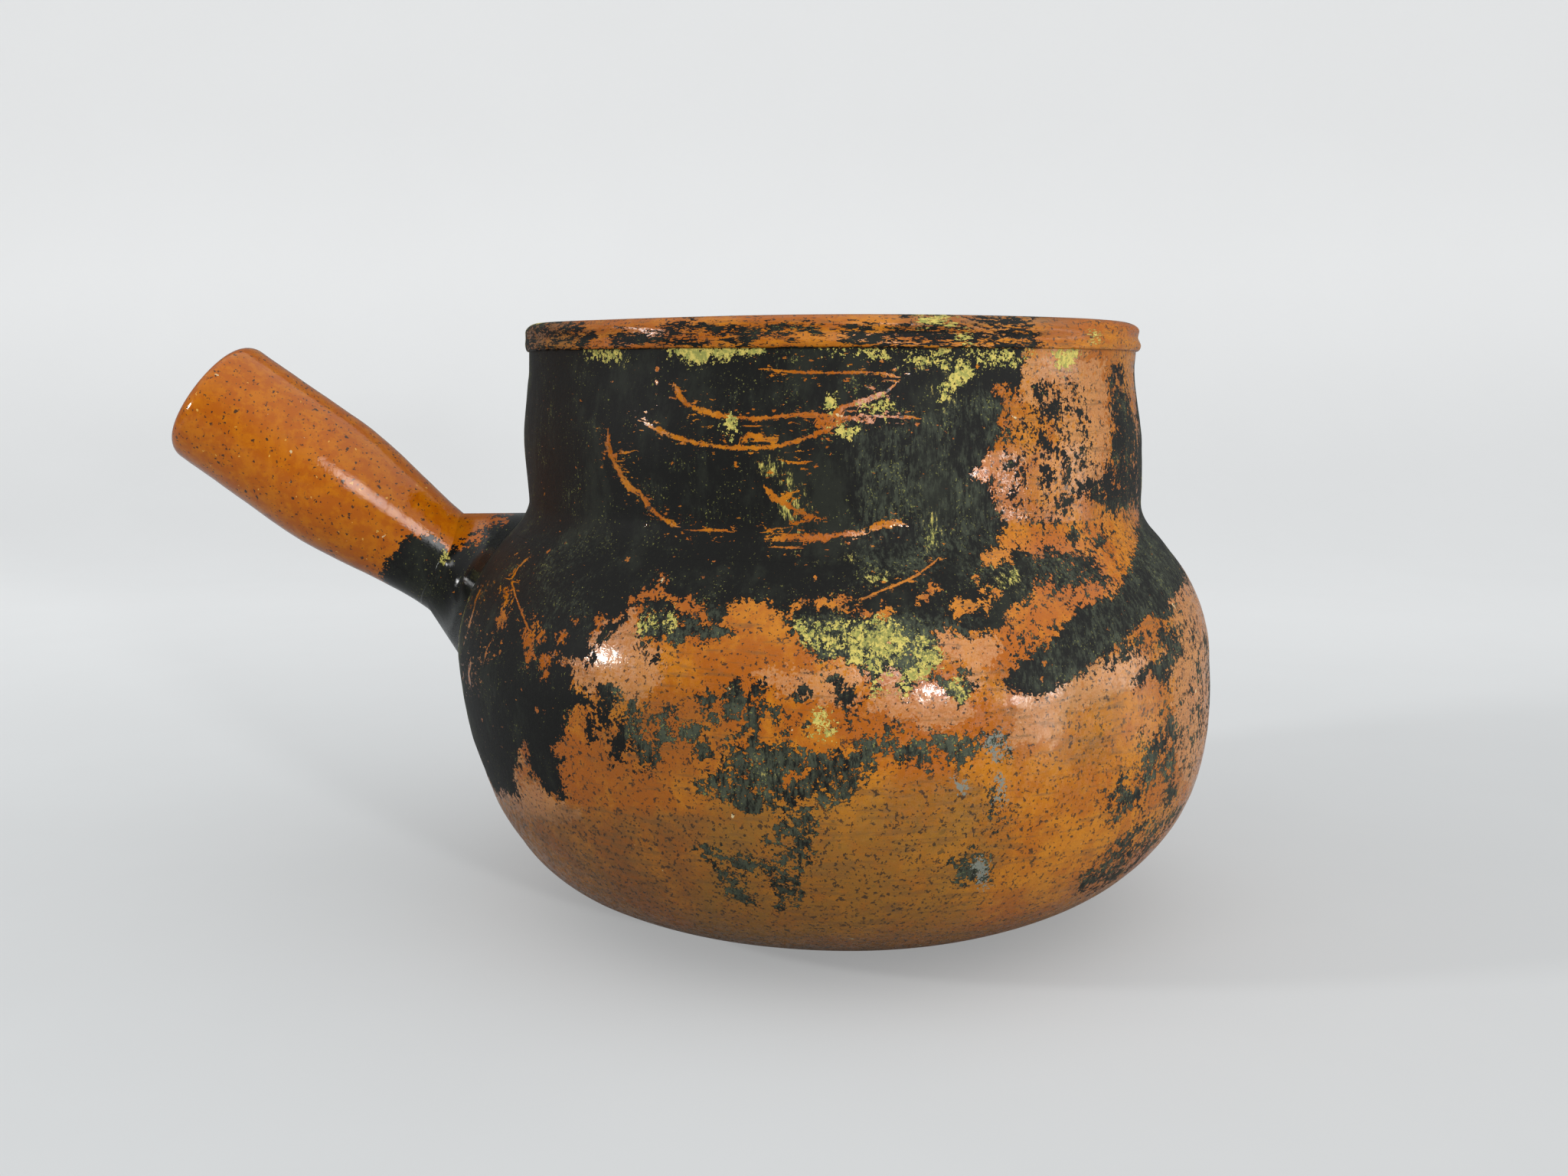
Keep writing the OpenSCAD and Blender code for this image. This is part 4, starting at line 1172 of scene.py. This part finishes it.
class ClayWall(bpy.types.PropertyGroup):
    """How far the thrown walls leave true turned ones."""

    ridge_height: bpy.props.FloatProperty(
        name="Throwing Ridges", description="Height of the ridges left by throwing, in mm",
        default=0.04, min=0.0, max=0.3)
    row_step: bpy.props.FloatProperty(
        name="Row Step", description="Distance between the rows of the walls' meshes, in mm",
        default=1.3, min=0.8, max=4.0)
    lip_wave: bpy.props.FloatProperty(
        name="Lip Wave", description="How far the lip wanders up and down, in mm",
        default=0.35, min=0.0, max=1.5)


def color_property(name, description, default):
    """A colour with its name and meaning."""
    return bpy.props.FloatVectorProperty(
        name=name, description=description, subtype="COLOR", size=3, min=0.0, max=1.0, default=default)


class PotColors(bpy.types.PropertyGroup):
    """Colours of the glaze and of the remains of paint."""

    glaze: color_property("Glaze", "Orange-brown glaze over the red clay", (0.45, 0.155, 0.006))
    glaze_deep: color_property("Deep Glaze", "Glaze where it lies thick", (0.33, 0.086, 0.003))
    # salmon thin glaze, and also a painted reflection veil round the highlights and on the collar
    glaze_pale_and_sheen: color_property("Pale Glaze", "Glaze worn thin and salmon-coloured", (0.47, 0.225, 0.095))
    grip: color_property("Grip Glaze", "Bright orange glaze of the handle", (0.46, 0.134, 0.001))
    grip_deep: color_property("Deep Grip Glaze", "Handle's glaze where it lies thick", (0.38, 0.09, 0.001))
    glaze_bright: color_property("Bright Specks", "Pale specks in the handle's glaze", (0.75, 0.45, 0.09))
    speck: color_property("Specks", "Iron specks and soot in the glaze", (0.024, 0.016, 0.01))
    crumb: color_property("Crumbs", "Pale crumbs and nicks in the glaze", (0.6, 0.5, 0.28))
    # also painted shade: the same brown darkens the lower belly towards the floor
    smoke: color_property("Smoke", "Brown of the smoked glaze", (0.14, 0.067, 0.019))
    olive: color_property("Olive", "Olive tone of the soiled glaze", (0.23, 0.11, 0.014))
    black: color_property("Black Paint", "Black paint", (0.0075, 0.0075, 0.0068))
    worn_black: color_property("Worn Paint", "Black paint worn to grey-green", (0.062, 0.072, 0.048))
    ochre: color_property("Ochre Paint", "Ochre paint", (0.55, 0.445, 0.11))
    ochre_green: color_property("Green Ochre", "Ochre paint that has turned green", (0.25, 0.25, 0.065))
    grey_paint: color_property("Grey Paint", "Chips of blue-grey paint", (0.17, 0.18, 0.15))
    lining: color_property("Lining", "Honey-brown glaze of the inside", (0.3, 0.125, 0.022))
    shine: color_property("Shine", "Tint of the reflections on the glaze", (1.0, 0.92, 0.88))
    gloss_level: bpy.props.FloatProperty(
        name="Gloss Level", description="Strength of the reflections on glaze and paint",
        default=0.38, min=0.0, max=1.0)


class PotStage(bpy.types.PropertyGroup):
    """Floor and light."""

    floor_color: color_property("Floor", "Colour of the floor and backdrop", (0.46, 0.475, 0.479))
    floor_glow: bpy.props.FloatProperty(
        name="Floor Glow", description="Paleness that the camera alone sees on the floor",
        default=0.235, min=0.0, max=1.0)
    sky_side: bpy.props.FloatProperty(
        name="Room", description="Strength of the even light from the sides",
        default=0.34, min=0.0, max=2.0)
    sky_top: bpy.props.FloatProperty(
        name="Ceiling", description="Strength of the even light from above",
        default=1.06, min=0.0, max=2.0)
    dark_side: bpy.props.FloatProperty(
        name="Far Side", description="Share of the even light on the side away from most windows",
        default=0.6, min=0.0, max=1.0)
    window_strength: bpy.props.FloatProperty(
        name="Windows", description="Brightness by which each window's own is multiplied",
        default=18.0, min=0.0, max=80.0)


def settings():
    """The scene's property groups."""
    scene = bpy.context.scene
    return scene.clay_wall, scene.pot_colors, scene.pot_stage


def pot_pieces():
    """The collection of the pot's own pieces."""
    return bpy.data.collections.get("pot_pieces") or bpy.data.collections.new("pot_pieces")


# how the painted finishes differ from that of the body
FINISHES = {
    "old_paint_over_glaze": {},
    "lip_with_worn_paint": {"stretch": (0.6, 0.6, 2.6), "gloss": 0.2},
    "orange_grip_glaze": {
        "tones": ("grip", "grip_deep"), "gloss": 0.07, "coat_gloss": 0.12, "coat_shine": 0.6,
        "soiled": 0.1, "pale_specks": True, "pool_scale": 190.0},
    "glossy_root_paint": {
        "tones": ("grip", "grip_deep"), "coat_gloss": 0.13, "coat_shine": 0.5, "soiled": 0.15},
}


def finish_once(name):
    """The material of that name, made at its first use."""
    found = bpy.data.materials.get(name)
    if found:
        return found
    colors = settings()[1]
    return painted_glaze(name, colors, **FINISHES[name]) if name in FINISHES else lining_finish(name, colors)


def dress(piece, node, finish, patches=None, mirror=False):
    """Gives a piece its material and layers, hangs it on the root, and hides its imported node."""
    if patches is not None:
        points, normals = mesh_points(piece)
        for name, values in paint_layers(points, normals, patches, mirror).items():
            give_values(piece, name, values)
    piece.data.materials.append(finish_once(finish))
    pot_pieces().objects.link(piece)
    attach(piece, "root")
    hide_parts(node)


def turned(profile, wall, outer_rows):
    """Grid of a profile [r, z] carried round the pot. The first outer_rows rows are the outside and
    get the whole departure of the thrown wall, and the rest only its slow part."""
    angle = round_columns()[None, :]
    radius, z = profile[:, :1], profile[:, 1:]
    ridges = np.where(np.arange(len(profile))[:, None] < outer_rows, 1.0, 0.0)
    calm = smooth_step(z / 6.0)
    whole = radius + swell(angle, z) * calm + ridges * ripple(angle, z, wall.ridge_height) * calm
    return on_wall(angle, z, whole)


class POT_OT_stage(bpy.types.Operator):
    """Makes the floor with its backdrop, the lights and the photograph's camera"""

    bl_idname = "pot.stage"
    bl_label = "Stage"

    def execute(self, context):
        stage = settings()[2]
        self.floor(stage)
        self.room_light(stage)
        for window in WINDOWS:
            self.lamp(stage.window_strength, *window)
        self.camera()
        bpy.context.scene.view_settings.view_transform = "Standard"
        return {"FINISHED"}

    @staticmethod
    def floor(stage):
        """Paper that lies on the floor and bends up into the backdrop."""
        half, front, back, rise, bend = 3000.0, -2200.0, 1400.0, 1900.0, 500.0
        arc = np.linspace(0, math.pi / 2, 24)
        side = np.r_[[(front, 0.0)], np.c_[back - bend + bend * np.sin(arc), bend - bend * np.cos(arc)],
                     [(back, rise)]]
        points = np.array([(x, y, z) for y, z in side for x in (-half, half)]) * MM
        quads = [(2 * i, 2 * i + 1, 2 * i + 3, 2 * i + 2) for i in range(len(side) - 1)]
        mesh = bpy.data.meshes.new("floor")
        mesh.from_pydata(points.tolist(), [], quads)
        mesh.polygons.foreach_set("use_smooth", np.ones(len(quads), bool))
        floor = bpy.data.objects.new("floor", mesh)
        bpy.context.scene.collection.objects.link(floor)
        mesh.materials.append(floor_finish("pale_paper", stage))

    @staticmethod
    def room_light(stage):
        """Even light whose strength rises smoothly from the horizon to the top, and evenly towards
        the right, where most windows are. The camera sees it as a pale wall."""
        world = bpy.data.worlds.new("room_light")
        bpy.context.scene.world = world
        recipe = Recipe(world)
        way = recipe.axes(recipe.node("ShaderNodeTexCoord").outputs["Generated"])
        rise = recipe.scaled(recipe.level(way[2], 0.1, 0.9), stage.sky_top - stage.sky_side, stage.sky_side)
        across = recipe.scaled(way[0], 1.0 - stage.dark_side, 1.0)
        seen = recipe.node("ShaderNodeLightPath").outputs["Is Camera Ray"]
        background = recipe.node("ShaderNodeBackground", {
            "Color": rgba((0.97, 0.985, 1.0)),
            "Strength": recipe.mixed(seen, recipe.times(rise, across), 0.74)})
        recipe.node("ShaderNodeOutputWorld", {"Surface": background.outputs[0]})

    @staticmethod
    def lamp(strength, name, around, z, distance, size, brightness, alone):
        """An area light that the camera doesn't see, at an angle round the pot and a height,
        facing the belly. Its power is radiance * pi * area. Lights that stand alone reach the pot
        and not the floor."""
        around = math.radians(around)
        target_z = 110.0
        light = bpy.data.lights.new(name, "AREA")
        light.shape = "RECTANGLE"
        light.size, light.size_y = size[0] * MM, size[1] * MM
        light.energy = brightness * strength * math.pi * light.size * light.size_y
        holder = bpy.data.objects.new(name, light)
        holder.location = (distance * math.sin(around) * MM, -distance * math.cos(around) * MM, z * MM)
        holder.rotation_euler = (math.pi / 2 - math.atan2(z - target_z, distance), 0.0, around)
        holder.visible_camera = False
        bpy.context.scene.collection.objects.link(holder)
        if alone:
            holder.light_linking.receiver_collection = pot_pieces()

    @staticmethod
    def camera():
        """The photograph's camera."""
        camera = bpy.data.cameras.new("camera")
        camera.sensor_width = 36.0
        camera.lens = camera.sensor_width * FOCAL / PHOTO_SIZE[0]
        camera.clip_end = 20.0
        holder = bpy.data.objects.new("camera", camera)
        holder.location = [c * MM for c in CAMERA_PLACE]
        holder.rotation_euler = (math.pi / 2 - CAMERA_PITCH, 0.0, CAMERA_YAW)
        bpy.context.scene.collection.objects.link(holder)
        bpy.context.scene.camera = holder


class POT_OT_belly(bpy.types.Operator):
    """Makes the belly: floor, foot, round wall and shoulder, closed by its inner wall"""

    bl_idname = "pot.belly"
    bl_label = "Belly"

    def execute(self, context):
        wall = settings()[0]
        t = np.linspace(0, math.pi / 2, 200)
        z = BELLY_Z * (1 - np.cos(t))
        lower = np.c_[lower_r(z), z]
        z = np.linspace(BELLY_Z, SEAT_Z, 200)[1:]
        upper = np.c_[shoulder_r(z), z]
        outer = even_steps(np.vstack([lower, upper]), wall.row_step)
        r = np.linspace(4, FOOT_R, 8)[:-1]
        foot = np.c_[r, FOOT_HOLLOW * (1 - (r / FOOT_R) ** 2)]
        z = np.linspace(SEAT_Z, BELLY_Z, 5)
        inner_upper = np.c_[shoulder_r(z, BELLY_WALL), z]
        t = np.linspace(math.pi / 2, 0.03, 10)
        z = BELLY_Z - (BELLY_Z - FLOOR_T) * np.cos(t)
        inner_lower = np.c_[lower_r(z, BELLY_WALL, BELLY_Z - FLOOR_T), z]
        rows = np.vstack([foot, outer, inner_upper, inner_lower[1:]])
        points = turned(rows, wall, len(foot) + len(outer))
        poles = (table(LEAN, 0.0), 0, FOOT_HOLLOW), (table(LEAN, FLOOR_T), 0, FLOOR_T)
        dress(closed_grid("belly_wall", points, *poles), "belly",
              "old_paint_over_glaze", PAINT)
        return {"FINISHED"}


class POT_OT_neck(bpy.types.Operator):
    """Makes the tall collar, set on the belly's rim"""

    bl_idname = "pot.neck"
    bl_label = "Collar"

    def execute(self, context):
        wall = settings()[0]
        z = np.linspace(SEAT_Z, NECK_TOP_Z, 200)
        outer = even_steps(np.c_[neck_r(z), z], wall.row_step * 0.85)
        inner = outer[::-5] - [NECK_WALL, 0]
        points = turned(np.vstack([outer, inner]), wall, len(outer))
        dress(closed_grid("collar_wall", points, loop=True), "neck",
              "old_paint_over_glaze", PAINT)
        return {"FINISHED"}


class POT_OT_neck_coil(bpy.types.Operator):
    """Makes the clay pressed into the angle between collar and shoulder"""

    bl_idname = "pot.neck_coil"
    bl_label = "Collar Fillet"

    def execute(self, context):
        wall = settings()[0]
        outer = even_steps(coil_curve(60), 0.9)
        outer[:, 0] += 0.02
        ends = [[NECK_R - 1.0, COIL_HIGH_Z], [NECK_R - 1.5, SEAT_Z],
                [shoulder_r(COIL_LOW_Z) - 1.0, COIL_LOW_Z - 0.4]]
        rows = crisp(np.vstack([outer, ends]), (0, len(outer) - 1))
        points = turned(rows, wall, len(rows))
        dress(closed_grid("collar_fillet", points, loop=True), "neck_coil",
              "old_paint_over_glaze", PAINT)
        return {"FINISHED"}


class POT_OT_lip_band(bpy.types.Operator):
    """Makes the folded lip with its sharp undercut edge, nicks and the burr at its end"""

    bl_idname = "pot.lip_band"
    bl_label = "Lip"

    def execute(self, context):
        wall = settings()[0]
        rows = self.profile()
        angle = round_columns()[None, :]
        points = turned(rows, wall, 0)
        z = rows[:, 1:]
        outer = smooth_step((rows[:, :1] - LIP_R + 3.0) / 3.0)
        groove = 0.22 * np.sin((z - LIP_LOW_Z) / 0.9 + 0.6 * np.sin(3 * angle))
        lumps = 0.25 * np.sin(5 * angle + z) + 0.18 * np.sin(13 * angle - 0.7 * z)
        edge = smooth_step((LIP_LOW_Z + 1.2 - z) / 1.2) * outer * self.nicks(angle, 41, 60, 0.8)
        top_nicks = self.nicks(angle, 43, 26, 1.5) * np.exp(-((z - RIM_Z + 1.0) / 1.2) ** 2)
        push = (groove + lumps - 0.5 * top_nicks) * outer - 0.5 * edge
        points[..., 0] += push * np.sin(angle)
        points[..., 1] -= push * np.cos(angle)
        wave = 0.6 * np.sin(2 * angle + 0.8) + 0.4 * np.sin(3 * angle) + 0.3 * np.sin(5 * angle + 2.0)
        points[..., 2] += wall.lip_wave * wave * smooth_step((z - NECK_TOP_Z) / LIP_CAP) + 0.4 * edge
        piece = closed_grid("folded_lip", points, loop=True)
        burr = self.burr()
        with bpy.context.temp_override(active_object=piece, selected_editable_objects=[piece, burr]):
            bpy.ops.object.join()
        dress(piece, "lip_band", "lip_with_worn_paint", LIP_PAINT)
        return {"FINISHED"}

    @staticmethod
    def profile():
        """Section of the lip: outer face, rounded top, and the fold's inside."""
        arc = np.linspace(0, math.pi / 2, 9)
        inner_r = NECK_TOP_R - NECK_WALL
        low, high = LIP_LOW_Z, NECK_TOP_Z - 1.0
        outer_corner = np.c_[LIP_R - LIP_ROUND * (1 - np.cos(arc)), RIM_Z - LIP_ROUND * (1 - np.sin(arc))]
        inner_corner = np.c_[inner_r + LIP_INNER_ROUND * (1 - np.sin(arc)),
                             RIM_Z - LIP_INNER_ROUND * (1 - np.cos(arc))]
        face = [[LIP_R - 0.25, low], [LIP_R, low + 0.5], [LIP_R, RIM_Z - LIP_ROUND]]
        inside = [[inner_r, high], [inner_r + 1.5, high], [NECK_TOP_R - 1.5, high],
                  [NECK_TOP_R - 1.0, low + 2.0], [NECK_TOP_R - 0.3, low + 0.9]]
        return np.vstack([even_steps(np.vstack([face, outer_corner[1:], inner_corner]), 0.55), inside])

    @staticmethod
    def nicks(angle, seed, count, width):
        """Small bites round the rim: bell curves of random place, depth and width (in mm)."""
        draw = np.random.default_rng(seed)
        total = np.zeros_like(angle)
        for place, depth, size in zip(draw.uniform(-math.pi, math.pi, count), draw.uniform(0.2, 1.0, count),
                                      draw.uniform(0.5, 1.5, count)):
            away = (angle - place + math.pi) % (2 * math.pi) - math.pi
            total = total + depth * np.exp(-(away * LIP_R / (width * size)) ** 2)
        return np.clip(total, 0, 1.2)

    @staticmethod
    def burr():
        """The drop of clay that hangs from the band: a sphere drawn down and flattened."""
        middle_x, middle_z, half_height, half_width = LIP_R - 1.4, LIP_LOW_Z - 1.6, 3.4, 1.9
        v = np.linspace(0.15, math.pi - 0.15, 14)[:, None]
        u = np.linspace(0, 2 * math.pi, 20, endpoint=False)[None, :]
        width = half_width * np.sin(v) * (1 - 0.25 * np.cos(v))
        points = np.stack([middle_x + 0.75 * width * np.cos(u), 1.1 * width * np.sin(u),
                           middle_z - half_height * np.cos(v) + 0 * u], -1)
        poles = [(middle_x, 0, middle_z - half_height * c) for c in (1, -1)]
        return closed_grid("burr", points, *poles)


def handle_frame():
    """Root, axis and upward direction of the handle, and its sideways direction."""
    root = np.array([-shoulder_r(HANDLE_ROOT_Z), 0, HANDLE_ROOT_Z])
    tilt = math.radians(HANDLE_TILT)
    axis = np.array([-math.cos(tilt), 0, math.sin(tilt)])
    up = np.array([math.sin(tilt), 0, math.cos(tilt)])
    return root, axis, up, np.array([0, -1.0, 0])


def handle_r(t):
    """Outer radius along the handle, which swells by a smooth step to the grip."""
    share = (t - HANDLE_SLIM) / (HANDLE_SWELL - HANDLE_SLIM)
    return HANDLE_ROOT_R + (HANDLE_GRIP_R - HANDLE_ROOT_R) * smooth_step(share)


def handle_ripple(t, turn):
    """Throwing ridges along the handle and the slight flats left by the hand."""
    ridges = 0.012 * np.sin(t / 1.1 + turn) + 0.03 * np.sin(t / 2.6 - turn + 0.5)
    return ridges + 0.2 * np.sin(2 * turn + t / 25) + 0.08 * np.sin(4 * turn - t / 15)


def handle_point(t, turn, radius):
    """Point at a distance along the handle, an angle from its top, and a radius."""
    root, axis, up, side = handle_frame()
    t, turn, radius = (np.asarray(a)[..., None] for a in np.broadcast_arrays(t, turn, radius))
    return root + t * axis + radius * (np.cos(turn) * up + np.sin(turn) * side)


def depth_in_body(points):
    """How far points stand outside the body's wall, negative inside."""
    z = points[..., 2]
    return np.hypot(points[..., 0] - table(LEAN, z), points[..., 1]) - outer_r(z)


def unit(vectors):
    """Vectors made one long."""
    return vectors / np.linalg.norm(vectors, axis=-1, keepdims=True)


class POT_OT_handle_tube(bpy.types.Operator):
    """Makes the hollow club-shaped handle with its rounded open end"""

    bl_idname = "pot.handle_tube"
    bl_label = "Handle"

    def execute(self, context):
        turn = np.linspace(0, 2 * math.pi, 200, endpoint=False)[None, :]
        tries = np.linspace(8.0, -24.0, 321)[:, None]

        def start_of(radius):
            """The distance at which each line along the handle is a little inside the wall."""
            sunk = depth_in_body(handle_point(tries, turn, radius)) < -1.5
            return tries[np.argmax(sunk, axis=0), 0][None, :]

        start = start_of(HANDLE_ROOT_R)
        end = HANDLE_LEN - HANDLE_END_ROUND
        share = np.linspace(0, 1, 105)[:, None]
        t = start + (end - start) * share
        sides = handle_point(t, turn, handle_r(t) + handle_ripple(t, turn) * smooth_step(share * 8))
        arc = np.linspace(0, math.pi / 2, 12)[1:, None]
        t = end + HANDLE_END_ROUND * np.sin(arc)
        lift = handle_ripple(end, turn) * (1 - arc / math.pi * 1.2)
        cap = handle_point(t, turn, HANDLE_GRIP_R - HANDLE_END_ROUND * (1 - np.cos(arc)) + lift)
        bore_r = HANDLE_GRIP_R - HANDLE_WALL
        bend = np.linspace(0, math.pi / 2, 7)[1:, None]
        throat = handle_point(HANDLE_LEN - HANDLE_THROAT * (1 - np.cos(bend)), turn,
                              bore_r + HANDLE_THROAT * (1 - np.sin(bend)) + 0.1 * np.sin(3 * turn))
        bore_end = HANDLE_LEN - HANDLE_THROAT
        t = bore_end + (start_of(HANDLE_ROOT_R - HANDLE_WALL) - bore_end) * np.linspace(0, 1, 46)[1:, None]
        bore = handle_point(t, turn, handle_r(t) - HANDLE_WALL + 0.12 * np.sin(t / 1.4 + turn))
        piece = closed_grid("handle_grip", np.concatenate([sides, cap, throat, bore]), loop=True)
        dress(piece, "handle_tube", "orange_grip_glaze", HANDLE_PAINT, mirror=True)
        return {"FINISHED"}


class POT_OT_handle_weld(bpy.types.Operator):
    """Makes the luting clay that flows from the handle's root into shoulder and collar"""

    bl_idname = "pot.handle_weld"
    bl_label = "Handle Root"

    def execute(self, context):
        turn = np.linspace(0, 2 * math.pi, 240, endpoint=False)[None, :]
        up = 0.5 + 0.5 * np.cos(turn)
        reach = 12.5 + 8.5 * up ** 2 + 0.8 * np.sin(3 * turn + 1)
        low_z, high_z, half_width = 84.0, 144.0, 30.0
        middle, half = 0.5 * (high_z + low_z), 0.5 * (high_z - low_z)
        clear, sunk, fullness = 0.05, 1.5, 0.95

        def foot(size):
            """Ring on the body round the root, as an ellipse in width and height."""
            z = middle + half * size * np.cos(turn)
            angle = -math.pi / 2 + half_width * size * np.sin(turn) / BELLY_R
            return on_wall(angle, z, outer_r(z) + swell(angle, z) - clear)

        near = handle_point(reach, turn, handle_r(reach) - clear)
        nearer = handle_point(reach + 3.0, turn, handle_r(reach + 3.0) - clear)
        far = foot(1.0)
        span = fullness * np.linalg.norm(far - near, axis=-1, keepdims=True)
        s = np.linspace(0, 1, 40)[:, None, None]
        curve = ((2 * s ** 3 - 3 * s ** 2 + 1) * near + (s ** 3 - 2 * s ** 2 + s) * unit(near - nearer) * span
                 + (3 * s ** 2 - 2 * s ** 3) * far + (s ** 3 - s ** 2) * unit(foot(1.06) - far) * span)
        outward = unit(curve - np.array([-118.0, 0, 118.0]))
        s = s[..., 0]
        smear = 0.25 * np.sin(4 * turn + 6 * s) + 0.2 * np.sin(9 * turn - 5 * s)
        curve = curve + (np.sin(s * math.pi) * smear)[..., None] * outward
        sunk_far = far - sunk * outward[-1:]
        sunk_near = handle_point(reach, turn, handle_r(reach) - sunk)
        piece = closed_grid("handle_root", np.concatenate([sunk_near, curve, sunk_far]), loop=True)
        dress(piece, "handle_weld", "glossy_root_paint", HANDLE_PAINT, mirror=True)
        return {"FINISHED"}


class POT_OT_lining(bpy.types.Operator):
    """Makes the coat of glaze over the whole inside"""

    bl_idname = "pot.lining"
    bl_label = "Lining Glaze"

    def execute(self, context):
        face = even_steps(self.inside(BELLY_WALL + LINING_T, FLOOR_T + LINING_T), 2.0)
        back = even_steps(self.inside(BELLY_WALL, FLOOR_T), 8.0)[::-1]
        angle = round_columns()[None, ::2]
        rows = np.vstack([face, back])
        radius, z = rows[:, :1], rows[:, 1:]
        inner = (np.arange(len(rows)) < len(face))[:, None]
        ridges = 0.28 * np.sin(z / 1.9 + angle) + 0.15 * np.sin(z / 1.1 - angle)
        calm = smooth_step((radius - 20) / 60) * smooth_step((RIM_Z - z - 2) / 8)
        lift = swell(angle, z) * smooth_step(radius / 40) - np.where(inner, 0.25 + ridges * calm, 0)
        poles = [(table(LEAN, FLOOR_T), 0, height) for height in (FLOOR_T + LINING_T, FLOOR_T)]
        piece = closed_grid("lining", on_wall(angle, z, radius + lift), *poles)
        dress(piece, "lining_glaze", "honey_lining")
        return {"FINISHED"}

    @staticmethod
    def inside(inset, floor_z):
        """Profile of the inner wall from the floor to the rim."""
        t = np.linspace(0.02, math.pi / 2, 120)
        z = BELLY_Z - (BELLY_Z - floor_z) * np.cos(t)
        lower = np.c_[lower_r(z, inset, BELLY_Z - floor_z), z]
        z = np.linspace(BELLY_Z, SEAT_Z, 80)[1:]
        upper = np.c_[shoulder_r(z, inset), z]
        z = np.linspace(SEAT_Z, RIM_Z - LIP_INNER_ROUND, 80)[1:]
        return np.vstack([lower, upper, np.c_[neck_r(z) - NECK_WALL - (inset - BELLY_WALL), z]])


class POT_PT_panel(bpy.types.Panel):
    """Lists the pot's pieces and its settings"""

    bl_label = "Glazed Pot"
    bl_idname = "POT_PT_panel"
    bl_space_type = "VIEW_3D"
    bl_region_type = "UI"
    bl_category = "Clay Pot"

    def draw(self, context):
        for group in settings():
            box = self.layout.box()
            for name in group.__annotations__:
                box.prop(group, name)
        for operator in OPERATORS:
            self.layout.operator(operator.bl_idname)


OPERATORS = (POT_OT_stage, POT_OT_belly, POT_OT_neck, POT_OT_neck_coil, POT_OT_lip_band,
             POT_OT_handle_tube, POT_OT_handle_weld, POT_OT_lining)
GROUPS = {"clay_wall": ClayWall, "pot_colors": PotColors, "pot_stage": PotStage}
CLASSES = tuple(GROUPS.values()) + OPERATORS + (POT_PT_panel,)


def register():
    """Registers the classes and hangs their settings on the scene."""
    for one in CLASSES:
        bpy.utils.register_class(one)
    for name, group in GROUPS.items():
        setattr(bpy.types.Scene, name, bpy.props.PointerProperty(type=group))


def unregister():
    """Takes the settings and classes away again."""
    for name in GROUPS:
        delattr(bpy.types.Scene, name)
    for one in reversed(CLASSES):
        bpy.utils.unregister_class(one)


def main():
    """Makes everything in order."""
    register()
    for operator in OPERATORS:
        group, name = operator.bl_idname.split(".")
        getattr(getattr(bpy.ops, group), name)()


if __name__ == "__main__":
    main()
